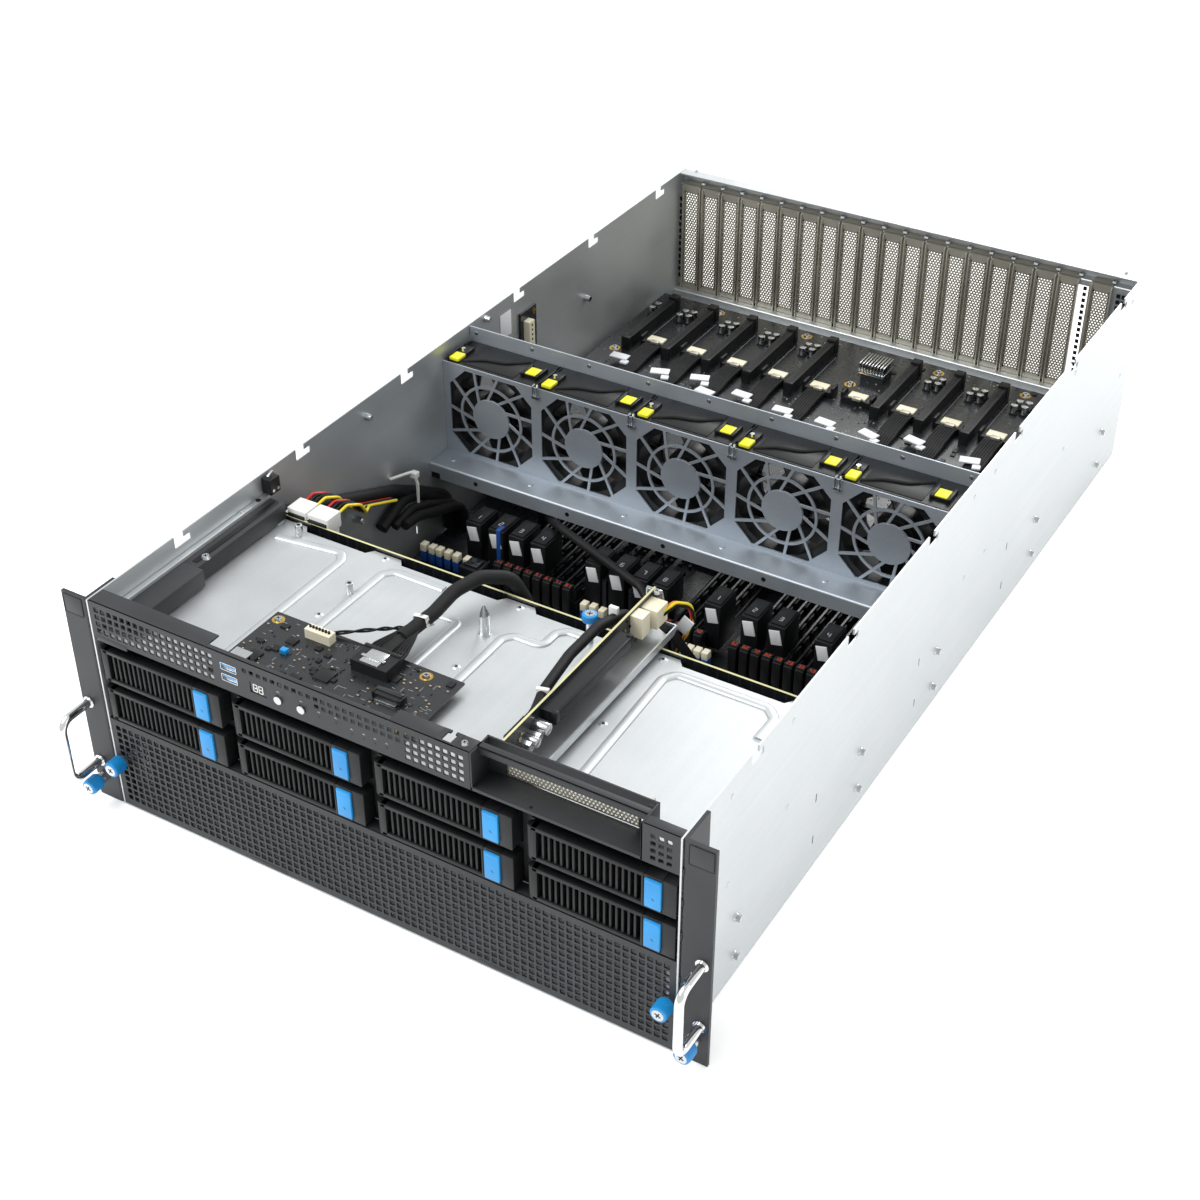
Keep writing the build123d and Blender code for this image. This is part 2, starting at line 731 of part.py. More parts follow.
def riser_tray():
    """Bracket that carries the riser card, edges folded up."""
    edge = riser_x + 18.8
    profile = bent(
        [(riser_x, riser_floor + 8.8), (riser_x, riser_floor), (edge, riser_floor), (edge, riser_floor + 6.0)],
        -sheet,
        0.6,
    )
    tray = extrude(place_front(slot_recess + 3) * profile, amount=-(cage_depth - slot_recess + 17))
    parts = [tray]
    for x in (riser_x + 4.8, riser_x + 13.8):
        for y in (60.0, 150.0):
            parts.append(rod(x, y, shelf_top, 3.0, riser_floor - shelf_top, (0, 0, 1), 6))
    return join(parts)


# Fan cage and fans

def fan_centres():
    """X centres of the five fans."""
    middle = (fan_count - 1) / 2
    return [fan_shift + (i - middle) * fan_pitch for i in range(fan_count)]


def grille_opening():
    """Swirl grille: hub and slanted spokes inside a cut-corner opening."""
    opening = chamfer(Rectangle(fan_open_w, fan_open_h).vertices(), 15.0)
    keep = RegularPolygon(fan_hub_r, fan_spokes)
    outer = fan_open_w * 0.7
    for i in range(fan_spokes):
        spoke = Pos(fan_hub_r * 0.6 + outer / 2, fan_hub_r * 0.55) * Rectangle(outer, fan_spoke_w)
        keep = keep + Rot(0, 0, 360 / fan_spokes * i) * spoke
    return opening - keep


def fan_wall():
    """Front plate with swirl grilles, floor with its ledge and lip, rear plate."""
    half = chassis_w / 2 - sheet - gap / 2
    plate = span(-half, half, fan_floor_z, fan_plate_top)
    swirl = grille_opening()
    for x in fan_centres():
        plate = plate - Pos(x, fan_open_z) * swirl
    parts = [front_sheet(plate, fan_plate_y, sheet)]
    floor = bent(
        [
            (fan_ledge_y + sheet, fan_floor_z - fan_lip),
            (fan_ledge_y + sheet, fan_floor_z - sheet),
            (fan_rear_y + sheet, fan_floor_z - sheet),
            (fan_rear_y + sheet, fan_rear_top),
        ],
        sheet,
        0.5,
    )
    tray = extrude(place_side(-half) * floor, amount=2 * half)
    for x in fan_centres():
        tray = tray - rod(x, fan_rear_y - 2, fan_open_z, fan_bore_r - 2, 6, (0, 1, 0), bore_sides)
    parts.append(tray)
    return group(parts)


def fan_module(x):
    """Fan housing with its bore, wire notch and two finger tabs on top."""
    y0 = fan_plate_y + sheet + gap
    y1 = fan_rear_y - gap
    half = fan_body_w / 2
    body = span(-half, half, fan_body_z0, fan_body_z1)
    body = Pos(x, 0) * body
    housing = front_sheet(body, y0, y1 - y0)
    housing = housing - rod(x, y0 - 1, fan_open_z, fan_bore_r, y1 - y0 + 2, (0, 1, 0), bore_sides)
    strut = RegularPolygon(rotor_hub_r, rotor_sides) + Rectangle(2 * fan_bore_r + 2, 4)
    housing = housing + front_sheet(Pos(x, fan_open_z) * strut, y1 - 5, 5)
    latch = slab(x - 39.5, x - 31.0, y0 + 1, y0 + 24, fan_body_z1 - 0.2, fan_body_z1 + 2.4)
    tab = slab(x + 24, x + 37, y0 + 9, y0 + 22, fan_body_z1 - 0.2, fan_body_z1 + 2.2)
    return housing + latch + tab


def fan_rotor(x):
    """Hub with swept blades, running just ahead of its bearing plate."""
    y0 = fan_plate_y + sheet + gap + 4
    depth = fan_rear_y - gap - 5 - rotor_run - y0
    rotor = rod(x, y0, fan_open_z, rotor_hub_r, depth, (0, 1, 0), rotor_sides)
    reach = rotor_r - rotor_hub_r
    middle = rotor_hub_r + reach / 2 - 1.5
    for i in range(rotor_blades):
        blade = Rot(blade_turn, 0, 0) * Box(reach, depth - 4, blade_t)
        blade = Rot(0, 360 / rotor_blades * i, 0) * (Pos(middle, 0, 0) * blade)
        rotor = rotor + Pos(x, y0 + depth / 2, fan_open_z) * blade
    return rotor


# GPU board, mainboard, supplies

def gpu_board():
    """Board on standoffs with eight card sockets, plugs and capacitors."""
    half = gpu_board_w / 2
    top = gpu_board_z + board_t
    board = slab(-half, half, gpu_board_front, gpu_board_rear, gpu_board_z, top)
    parts = [board]
    for x in (14 - half, 0, half - 14):
        for y in (500.0, 620.0, 745.0):
            parts.append(rod(x, y, deck_top, 3.0, gpu_board_z - deck_top, (0, 0, 1), 6))
    for place in card_places:
        x = card_first_x + card_pitch * place
        rear = socket_front + socket_l
        socket = slab(x - socket_w / 2, x + socket_w / 2, socket_front, rear, top, top + socket_h)
        groove = slab(x - 0.9, x + 0.9, socket_front + 3, rear - 3, top + 4, top + socket_h + 1)
        parts.append(socket - groove)
        parts.append(slab(x + 10, x + 34, 655.0, 667.0, top, top + 6.0))
    parts.append(slab(15, 36, 700.0, 720.0, top, top + 9.0))
    return group(parts)


def mainboard():
    """Board with memory sockets, heatsinks, plugs and upright cards."""
    half = mainboard_w / 2
    top = mainboard_z + board_t
    parts = [slab(-half, half, mainboard_front, mainboard_rear, mainboard_z, top)]
    for x in (23 - half, 0, half - 23):
        for y in (220.0, 400.0, 570.0):
            parts.append(rod(x, y, sheet, 3.0, mainboard_z - sheet, (0, 0, 1), 6))
    starts = [(-124.4, 8), (27.0, 4), (half - 129.0, 8)]
    for first, count in starts:
        for i in range(count):
            x = first + memory_pitch * i
            socket = slab(x - 3.2, x + 3.2, memory_front, memory_front + memory_len, top - 0.1, top + 9.0)
            latch = slab(x - 3.2, x + 3.2, memory_front, memory_front + 6.0, top + 8.8, 40.0)
            parts.append(socket + latch)
    for x0, x1 in ((-50.0, 18.0), (half - 53.0, half - 5.0)):
        parts.append(slab(x0, x1, 345.0, 425.0, top - 0.1, top + 12.0))
        for i in range(int((x1 - x0) / fin_pitch)):
            x = x0 + fin_pitch * i
            parts.append(slab(x, x + 4.0, 345.0, 425.0, top + 11.8, 46.0))
    return join(parts)


def power_supply(x):
    """Hot-swap supply with its strap pull and latch at the rear."""
    y1 = chassis_d + 0.5
    body = slab(x - psu_w / 2, x + psu_w / 2, y1 - psu_depth, y1, psu_z0, psu_z0 + psu_h)
    low = psu_z0 + 7.0
    high = psu_z0 + psu_h - 7.0
    strap = bent([(y1, low), (y1 + psu_handle, low), (y1 + psu_handle, high), (y1, high)], psu_strap_t, 3.0)
    pull = extrude(place_side(x + 8) * strap, amount=psu_strap_w)
    latch = slab(x + 24, x + 32, y1, y1 + 9, 14, 22)
    return join([body, pull, latch])


# Cables and wall fittings

def wall_fittings():
    """Cable channel on the left, lid switch, and the small wall board."""
    inner = -side_x + sheet + gap
    low = shelf_top + gap
    near = inner + 3
    far = inner + 17
    channel = bent([(near, low + 13.7), (near, low), (far, low), (far, low + 9.7)], sheet)
    parts = [extrude(place_front(34.0) * channel, amount=-136.0)]
    parts.append(slab(inner, inner + 8.0, 176.0, 186.0, chassis_h - 14.5, chassis_h - 2.5))
    parts.append(slab(inner, inner + 2.0, 512.0, 536.0, chassis_h - 66.5, chassis_h - 22.5))
    parts.append(slab(inner + 1.8, inner + 8.0, 516.0, 524.0, chassis_h - 54.5, chassis_h - 30.5))
    parts.append(rod(inner - 0.3, 275.0, 82.0, 3.0, 8.0, (1, 0, 0), cable_sides))
    return group(parts)


def lead(points, radii, r):
    """Cable of faceted section along straight runs and tangent arcs."""
    path = FilletPolyline(*points, radius=radii)
    start = Plane(origin=path @ 0, z_dir=path % 0)
    return sweep(start * RegularPolygon(r, cable_sides), path=path)


def cables():
    """Leads that the chassis holds: sleeve, riser lead, wall bundle, card cables."""
    parts = []
    plug_x = usb_x + 66.0
    plug_z = io_z + 6.4
    behind = backplane_y + board_t
    parts.append(lead(
        (
            (plug_x, 72, plug_z), (plug_x, 92, plug_z), (plug_x + 4, 122, plug_z + 3),
            (plug_x + 4, cage_depth - 32, plug_z + 6), (plug_x + 10, cage_depth - 10, plug_z + 6),
            (sleeve_end_x - 8, behind + 4, plug_z + 1), (sleeve_end_x, behind + 9, plug_z - 18),
            (sleeve_end_x, behind + 9, cable_seat),
        ),
        (30, 40, 40, 22, 14, 10),
        sleeve_r,
    ))
    top = riser_floor + 20.0
    parts.append(lead(
        (
            (riser_x - 3.6, 52, top - 3), (riser_x - 3.6, 62, top - 3),
            (riser_x - 9, 82, top), (riser_x - 14, 119, top),
            (riser_x - 14, cage_depth - 24, top), (riser_cable_end_x, behind + 9, top - 8),
            (riser_cable_end_x, behind + 9, cable_seat),
        ),
        (30, 30, 40, 40, 16),
        riser_cable_r,
    ))
    wall_x = bundle_r + sheet + gap - side_x
    plug_y = behind + 7.7
    board_top = mainboard_z + board_t
    parts.append(lead(
        (
            (15.75 - side_x, plug_y, backplane_top - 6.5), (wall_x, plug_y, backplane_top - 6.5),
            (wall_x, 320, fan_floor_z + 5), (wall_x, 352, fan_floor_z - 13), (wall_x, 392, 40),
            (wall_x, 392, board_top),
        ),
        (8, 40, 40, 20),
        bundle_r,
    ))
    top = gpu_board_z + board_t
    for place in card_places:
        x = card_first_x + card_pitch * place + 22
        ribbon = bent([(655.0, top + 3.0), (632.0, top + 3.0), (612.0, top + gap), (560.0, top + gap)], -2.6, 6.0)
        parts.append(extrude(place_side(x - 8) * ribbon, amount=16))
    return group(parts)


def write(name, solid):
    """Write one node."""
    export_step(solid, f"parts/{name}.step")


def main():
    os.makedirs("parts", exist_ok=True)
    write("chassis_shell", chassis_shell())
    write("rear_frame", rear_frame())
    write("slot_covers", slot_covers())
    write("drive_cage", drive_cage())
    write("cage_bezel", cage_bezel())
    write("front_panels", front_panels())
    write("front_grille", front_grille())
    write("grille_thumbscrews", grille_thumbscrews())
    write("rack_ears", rack_ears())
    write("pull_handles", pull_handles())
    write("thumbscrews", thumbscrews())
    write("drive_backplane", drive_backplane())
    write("io_board", io_board())
    write("card_riser", card_riser())
    write("riser_tray", riser_tray())
    write("fan_wall", fan_wall())
    write("gpu_board", gpu_board())
    write("mainboard", mainboard())
    write("wall_fittings", wall_fittings())
    write("cables", cables())
    for name, x in zip(("power_button", "id_button"), button_xs):
        write(name, front_button(x))
    carrier = tray_carrier()
    lever = tray_lever()
    latch = tray_latch()
    for i, (x, z) in enumerate(tray_centres(), start=1):
        write(f"tray_carrier_{i}", Pos(x, 0, z) * carrier)
        write(f"tray_lever_{i}", Pos(x, 0, z) * lever)
        write(f"tray_latch_{i}", Pos(x, 0, z) * latch)
    for i, x in enumerate(fan_centres(), start=1):
        write(f"fan_module_{i}", fan_module(x))
        write(f"fan_rotor_{i}", fan_rotor(x))
    for i, x in enumerate(psu_centres(), start=1):
        write(f"power_supply_{i}", power_supply(x))


main()
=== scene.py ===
import math
import random

import bmesh
import bpy
from mathutils import Matrix, Vector


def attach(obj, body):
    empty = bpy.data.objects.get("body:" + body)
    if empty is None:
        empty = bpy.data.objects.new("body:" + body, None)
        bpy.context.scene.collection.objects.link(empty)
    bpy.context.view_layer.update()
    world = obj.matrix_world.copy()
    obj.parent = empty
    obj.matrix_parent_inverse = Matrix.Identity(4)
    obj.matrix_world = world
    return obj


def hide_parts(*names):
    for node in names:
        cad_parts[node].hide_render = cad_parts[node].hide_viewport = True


# Looks of the rack server, in the CAD frame. Sizes below are in millimetres.

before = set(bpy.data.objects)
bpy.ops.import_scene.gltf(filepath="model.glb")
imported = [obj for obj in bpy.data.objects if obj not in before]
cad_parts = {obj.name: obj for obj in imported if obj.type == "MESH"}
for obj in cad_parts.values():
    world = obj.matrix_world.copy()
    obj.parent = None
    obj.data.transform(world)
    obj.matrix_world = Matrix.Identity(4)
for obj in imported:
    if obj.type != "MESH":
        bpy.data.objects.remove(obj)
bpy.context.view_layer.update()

MM = 0.001


# Colour and node helpers

def hex_rgb(code):
    """Linear colour of a hex code."""
    values = [int(code[i:i + 2], 16) / 255 for i in (0, 2, 4)]
    linear = [v / 12.92 if v <= 0.04045 else ((v + 0.055) / 1.055) ** 2.4 for v in values]
    return (*linear, 1.0)


def add(mat, kind, links=None, **settings):
    """One node with its settings and its links to other nodes' outputs."""
    node = mat.node_tree.nodes.new(kind)
    for key, value in settings.items():
        if hasattr(node, key) and key not in node.inputs:
            setattr(node, key, value)
        else:
            node.inputs[key.replace("_", " ")].default_value = value
    for key, source in (links or {}).items():
        mat.node_tree.links.new(source, node.inputs[key])
    return node


def start(name):
    """Empty node material with its surface node and object coordinates in millimetres."""
    mat = bpy.data.materials.new(name)
    mat.use_nodes = True
    tree = mat.node_tree
    tree.nodes.clear()
    out = add(mat, "ShaderNodeOutputMaterial")
    shader = add(mat, "ShaderNodeBsdfPrincipled")
    tree.links.new(shader.outputs["BSDF"], out.inputs["Surface"])
    coords = add(mat, "ShaderNodeTexCoord")
    scaled = add(mat, "ShaderNodeVectorMath", {"Vector": coords.outputs["Object"]}, operation="SCALE", Scale=1000.0)
    return mat, shader, scaled.outputs["Vector"]


def noise(mat, where, size, detail=3.0, stretch=(1, 1, 1)):
    """Noise whose blotches are about this many millimetres across."""
    squeezed = add(mat, "ShaderNodeVectorMath", {0: where}, operation="MULTIPLY")
    squeezed.inputs[1].default_value = stretch
    made = add(mat, "ShaderNodeTexNoise", {"Vector": squeezed.outputs["Vector"]}, Scale=1.0 / size, Detail=detail)
    return made.outputs["Fac"]


def ramp(mat, factor, stops):
    """Colour ramp from (position, hex) stops."""
    made = add(mat, "ShaderNodeValToRGB", {"Fac": factor})
    elements = made.color_ramp.elements
    while len(elements) < len(stops):
        elements.new(0.5)
    for element, (place, code) in zip(elements, stops):
        element.position = place
        element.color = hex_rgb(code) if isinstance(code, str) else (code, code, code, 1)
    return made.outputs["Color"]


def bump(mat, shader, height, depth, strength=1.0):
    """Bump of this depth in millimetres on the surface node."""
    made = add(mat, "ShaderNodeBump", {"Height": height}, Strength=strength, Distance=depth * MM)
    mat.node_tree.links.new(made.outputs["Normal"], shader.inputs["Normal"])


def link(mat, source, shader, socket):
    mat.node_tree.links.new(source, shader.inputs[socket])


# Materials

def sheet_metal(name, dark, light, low, high, grain=(1, 0.03, 1), size=5.0, metal=1.0):
    """Rolled and plated sheet: fine drawn streaks over soft cloudy patches."""
    mat, shader, where = start(name)
    shader.inputs["Metallic"].default_value = metal
    streaks = noise(mat, where, size, 4, grain)
    clouds = noise(mat, where, 60, 4)
    grains = noise(mat, where, 0.9, 2)
    both = add(mat, "ShaderNodeMix", {2: clouds, 3: streaks}, data_type="FLOAT")
    both.inputs[0].default_value = 0.3
    fine = add(mat, "ShaderNodeMix", {2: both.outputs[0], 3: grains}, data_type="FLOAT")
    fine.inputs[0].default_value = 0.35
    link(mat, ramp(mat, fine.outputs[0], [(0.3, dark), (0.7, light)]), shader, "Base Color")
    link(mat, ramp(mat, clouds, [(0.3, low), (0.7, high)]), shader, "Roughness")
    bump(mat, shader, fine.outputs[0], 0.02, 0.15)
    return mat


def coated(name, dark, light, rough, grain=0.6, depth=0.03, shine=0.5):
    """Powder coat or moulded plastic: fine pebbled skin with faint tone changes."""
    mat, shader, where = start(name)
    shader.inputs["IOR"].default_value = 1.5
    shader.inputs["Specular IOR Level"].default_value = shine
    clouds = noise(mat, where, 45, 4)
    pebbles = noise(mat, where, grain, 2)
    link(mat, ramp(mat, clouds, [(0.3, dark), (0.72, light)]), shader, "Base Color")
    link(mat, ramp(mat, pebbles, [(0.2, rough - 0.07), (0.8, rough + 0.07)]), shader, "Roughness")
    bump(mat, shader, pebbles, depth, 0.5)
    return mat


MATS = {}


def make_materials():
    """Every finish of the server, by name."""
    # Galvanised steel: light blue-grey with soft cloudy reflections and fine rolling streaks
    MATS["galvanised"] = sheet_metal("galvanised_rolled_steel", "BFC3C5", "D0D3D4", 0.38, 0.50, metal=0.8)
    # Inner walls and fan plates of the same sheet, smoother, coloured darker as painted shade
    MATS["fan_plate_painted_shade"] = sheet_metal("galvanised_punched_steel_painted_shade", "A3ABB4", "BAC1C8", 0.42, 0.54, (0.03, 1, 1), metal=0.7)
    # Nickel-plated slot covers: warm grey-olive with a satin sheen
    MATS["nickel"] = sheet_metal("nickel_plated_stamped_steel", "B0AC9F", "C8C4B7", 0.40, 0.52, (1, 1, 0.04), metal=0.75)
    # Bright zinc screws and small hardware
    MATS["zinc"] = sheet_metal("zinc_plated_turned_steel", "B9BCBD", "D9DBDC", 0.18, 0.30, (1, 1, 1), 1.5)
    # Polished chrome handles: mirror-like, hardly any texture
    MATS["chrome"] = sheet_metal("chrome_plated_polished_steel", "DCDDDD", "EEEEEE", 0.06, 0.12, (1, 1, 1), 8)
    # Gold-plated pads round the board holes
    MATS["gold"] = sheet_metal("gold_plated_copper_pad", "C79A3E", "E0BC63", 0.25, 0.35, (1, 1, 1), 2)
    # Dark grey-black powder coat of ears and front panels, finely pebbled
    MATS["coat"] = coated("black_powder_coated_steel", "1E2022", "292B2E", 0.50, 0.5, 0.04)
    # Moulded black plastic of trays and levers, a little deeper than the coat
    MATS["plastic"] = coated("black_moulded_plastic", "101112", "191A1C", 0.42, 0.8, 0.02, 0.32)
    # Fans' glossier black plastic
    MATS["fan_black"] = coated("black_moulded_fan_plastic", "0C0D0E", "151617", 0.38, 0.8, 0.02, 0.32)
    # Bright blue moulded plastic of latches and screw heads
    MATS["blue"] = coated("blue_moulded_plastic", "157EC0", "1F98DA", 0.35, 0.8, 0.015)
    MATS["beige"] = coated("ivory_moulded_nylon", "D8D0B4", "E8E2CC", 0.45, 0.8, 0.01)
    MATS["beige_part"] = coated("ceramic_chip_capacitor", "8C7F68", "A89A80", 0.4, 0.5, 0.01)
    MATS["blue_dark"] = coated("dark_blue_moulded_nylon", "123A78", "1B4C96", 0.42, 0.8, 0.01)
    MATS["white"] = coated("white_moulded_nylon", "DADAD6", "F0F0EC", 0.42, 0.8, 0.01)
    MATS["yellow"] = coated("yellow_printed_label", "D2CE10", "E4E02A", 0.45, 2.0, 0.005)
    MATS["red"] = coated("red_printed_digit_bar", "B8331E", "D84A2A", 0.45, 1.0, 0.005)
    MATS["label"] = coated("white_paper_label", "D5D7D9", "E8EAEC", 0.55, 2.0, 0.005)
    MATS["grey_print"] = coated("grey_silkscreen_print", "8C9093", "A9ADB0", 0.6, 1.0, 0.003)
    MATS["sleeve"] = coated("black_braided_sleeve", "0C0C0D", "19191B", 0.6, 1.2, 0.12, 0.3)
    MATS["glass"] = coated("smoked_display_window", "191A1D", "222428", 0.12, 2.0, 0.002)
    MATS["orange_wire"] = coated("orange_insulated_wire", "D9781A", "F09A2E", 0.4, 1.0, 0.01)
    MATS["yellow_wire"] = coated("yellow_insulated_wire", "D9C41A", "F0DE3C", 0.4, 1.0, 0.01)
    MATS["red_wire"] = coated("red_insulated_wire", "A81C1C", "D02A22", 0.4, 1.0, 0.01)
    MATS["edge"] = coated("cut_glass_fibre_edge", "B9B58A", "D2CE9A", 0.6, 0.6, 0.03)
    # Circuit boards: near-black solder mask with faint copper tracks under it
    mat, shader, where = start("black_solder_masked_board")
    shader.inputs["IOR"].default_value = 1.52
    bricks = add(mat, "ShaderNodeTexBrick", {"Vector": where}, Scale=0.11, Mortar_Size=0.05, Brick_Width=0.9, Row_Height=0.18)
    bricks.inputs["Color1"].default_value = hex_rgb("15171A")
    bricks.inputs["Color2"].default_value = hex_rgb("191B1E")
    bricks.inputs["Mortar"].default_value = hex_rgb("24272A")
    link(mat, bricks.outputs["Color"], shader, "Base Color")
    link(mat, ramp(mat, noise(mat, where, 12), [(0.3, 0.22), (0.7, 0.34)]), shader, "Roughness")
    bump(mat, shader, bricks.outputs["Fac"], 0.03, 0.4)
    MATS["board"] = mat


make_materials()


# Mesh helpers

class Shape:
    """Solids in millimetres, gathered into one mesh with several materials."""

    def __init__(self):
        self.mesh = bmesh.new()
        self.mats = []

    def finish_with(self, geometry, mat):
        if mat not in self.mats:
            self.mats.append(mat)
        index = self.mats.index(mat)
        for face in geometry:
            face.material_index = index

    def take(self, piece, mat):
        """Add a small mesh, all of it in one finish."""
        piece.verts.index_update()
        made = [self.mesh.verts.new(v.co) for v in piece.verts]
        faces = [self.mesh.faces.new([made[v.index] for v in f.verts]) for f in piece.faces]
        piece.free()
        self.finish_with(faces, mat)

    def box(self, x0, x1, y0, y1, z0, z1, mat, bevel=0.0, turn=None):
        """Box from corner to corner, its edges rounded by bevel."""
        piece = bmesh.new()
        bmesh.ops.create_cube(piece, size=1.0)
        bmesh.ops.scale(piece, verts=piece.verts, vec=(x1 - x0, y1 - y0, z1 - z0))
        if bevel:
            bmesh.ops.bevel(piece, geom=piece.edges[:], offset=bevel, segments=2, profile=0.5, affect="EDGES")
        if turn:
            bmesh.ops.rotate(piece, verts=piece.verts, matrix=turn, cent=(0, 0, 0))
        bmesh.ops.translate(piece, verts=piece.verts, vec=((x0 + x1) / 2, (y0 + y1) / 2, (z0 + z1) / 2))
        self.take(piece, mat)

    def rod(self, a, b, r, mat, sides=20, r2=None, bevel=0.0):
        """Round rod from point a to point b."""
        a, b = Vector(a), Vector(b)
        piece = bmesh.new()
        bmesh.ops.create_cone(
            piece, cap_ends=True, segments=sides, radius1=r, radius2=r if r2 is None else r2,
            depth=(b - a).length,
        )
        if bevel:
            rims = [e for e in piece.edges if len([f for f in e.link_faces if len(f.verts) > 4]) == 1]
            bmesh.ops.bevel(piece, geom=rims, offset=bevel, segments=2, profile=0.5, affect="EDGES")
        turn = (b - a).to_track_quat("Z", "Y").to_matrix()
        bmesh.ops.rotate(piece, verts=piece.verts, matrix=turn, cent=(0, 0, 0))
        bmesh.ops.translate(piece, verts=piece.verts, vec=(a + b) / 2)
        self.take(piece, mat)

    def tube(self, points, r, mat, sides=10):
        """Round tube along points, closed at both ends."""
        points = [Vector(p) for p in points]
        rings = []
        side = None
        for i, p in enumerate(points):
            ahead = (points[min(i + 1, len(points) - 1)] - points[max(i - 1, 0)]).normalized()
            if side is None:
                side = ahead.orthogonal().normalized()
            side = (side - ahead * side.dot(ahead)).normalized()
            other = ahead.cross(side)
            ring = []
            for k in range(sides):
                angle = 2 * math.pi * k / sides
                ring.append(self.mesh.verts.new(p + (side * math.cos(angle) + other * math.sin(angle)) * r))
            rings.append(ring)
        faces = []
        for one, two in zip(rings, rings[1:]):
            for k in range(sides):
                n = (k + 1) % sides
                faces.append(self.mesh.faces.new((one[k], one[n], two[n], two[k])))
        faces.append(self.mesh.faces.new(rings[0][::-1]))
        faces.append(self.mesh.faces.new(rings[-1]))
        self.finish_with(faces, mat)

    def pan_screw(self, p, axis, r, mat, dark):
        """Pan-head screw seated at p, its head along axis; its cross recess is a thin dark cross on the head, painted
        shade.
        """
        p, axis = Vector(p), Vector(axis)
        self.rod(p - axis * 0.3, p + axis * r * 0.55, r, mat, 18, r * 0.72)
        # The cross recess: two thin dark bars on the head, painted shade instead of a cut
        side = axis.orthogonal().normalized()
        for turned in (side, axis.cross(side)):
            a = p + axis * (r * 0.55 - 0.1)
            other = axis.cross(turned)
            hw, hl, t = r * 0.11, r * 0.5, 0.16
            corners = [a + turned * sx * hl + other * sy * hw for sx, sy in ((-1, -1), (1, -1), (1, 1), (-1, 1))]
            low = [self.mesh.verts.new(c) for c in corners]
            high = [self.mesh.verts.new(c + axis * t) for c in corners]
            faces = [self.mesh.faces.new(high)]
            for k in range(4):
                n = (k + 1) % 4
                faces.append(self.mesh.faces.new((low[k], low[n], high[n], high[k])))
            self.finish_with(faces, dark)

    def make(self, name, body, replaces=(), smooth=40):
        """One object in metres, riding on its body."""
        bmesh.ops.recalc_face_normals(self.mesh, faces=self.mesh.faces)
        bmesh.ops.scale(self.mesh, verts=self.mesh.verts, vec=(MM, MM, MM))
        data = bpy.data.meshes.new(name)
        self.mesh.to_mesh(data)
        self.mesh.free()
        for mat in self.mats:
            data.materials.append(MATS[mat])
        for polygon in data.polygons:
            polygon.use_smooth = True
        data.set_sharp_from_angle(angle=math.radians(smooth))
        obj = bpy.data.objects.new(name, data)
        bpy.context.scene.collection.objects.link(obj)
        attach(obj, body)
        if replaces:
            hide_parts(*replaces)
        return obj


def dress(node, mat, smooth=35):
    """A CAD node keeps its mesh and takes a finish."""
    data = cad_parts[node].data
    data.materials.clear()
    data.materials.append(MATS[mat])


# Plain finishes on the CAD nodes

FINISH = {
    "chassis_shell": "galvanised", "rear_frame": "galvanised", "slot_covers": "nickel",
    "drive_cage": "galvanised", "cage_bezel": "plastic", "front_panels": "coat", "rack_ears": "coat",
    "pull_handles": "chrome", "thumbscrews": "blue", "drive_backplane": "board", "io_board": "board",
    "card_riser": "board", "riser_tray": "galvanised", "fan_wall": "fan_plate_painted_shade", "gpu_board": "board",
    "mainboard": "board", "wall_fittings": "plastic", "cables": "sleeve", "front_grille": "coat",
    "grille_thumbscrews": "blue", "power_button": "zinc", "id_button": "zinc",
}
for i in range(1, 9):
    FINISH[f"tray_carrier_{i}"] = "plastic"
    FINISH[f"tray_lever_{i}"] = "plastic"
    FINISH[f"tray_latch_{i}"] = "blue"
for i in range(1, 6):
    FINISH[f"fan_module_{i}"] = "fan_black"
    FINISH[f"fan_rotor_{i}"] = "fan_black"
for i in range(1, 5):
    FINISH[f"power_supply_{i}"] = "zinc"
for node, mat in FINISH.items():
    dress(node, mat)


# Punched sheets

def ring_of(kind, r):
    """Outline points of one hole: a square with soft corners, or a hexagon-like round."""
    if kind == "square":
        c = r * 0.72
        return [(r, c), (c, r), (-c, r), (-r, c), (-r, -c), (-c, -r), (c, -r), (r, -c)]
    return [(r * math.cos(math.pi / 4 * k + 0.39), r * math.sin(math.pi / 4 * k + 0.39)) for k in range(8)]


def punched(shape, place, area, centres, cell_w, cell_h, hole, r, thick, mat):
    """Sheet over area (u0, u1, v0, v1) with holes at centres, each inside its own cell; place(u, v, w) gives the point."""
    mesh = shape.mesh
    faces = []
    outline = ring_of(hole, r)
    for cu, cv in centres:
        corners = [(cell_w / 2, cell_h / 2), (-cell_w / 2, cell_h / 2), (-cell_w / 2, -cell_h / 2), (cell_w / 2, -cell_h / 2)]
        layers = []
        for w in (0, thick):
            outer = [mesh.verts.new(place(cu + a, cv + b, w)) for a, b in corners]
            inner = [mesh.verts.new(place(cu + a, cv + b, w)) for a, b in outline]
            for k in range(4):
                faces.append(mesh.faces.new((outer[k], inner[2 * k], inner[2 * k + 1])))
                faces.append(mesh.faces.new((outer[k], inner[2 * k + 1], inner[(2 * k + 2) % 8], outer[(k + 1) % 4])))
            layers.append(inner)
        for k in range(8):
            n = (k + 1) % 8
            faces.append(mesh.faces.new((layers[0][k], layers[0][n], layers[1][n], layers[1][k])))
    shape.finish_with(faces, mat)
    for u0, u1, v0, v1 in area:
        plate(shape, place, u0, u1, v0, v1, thick, mat)


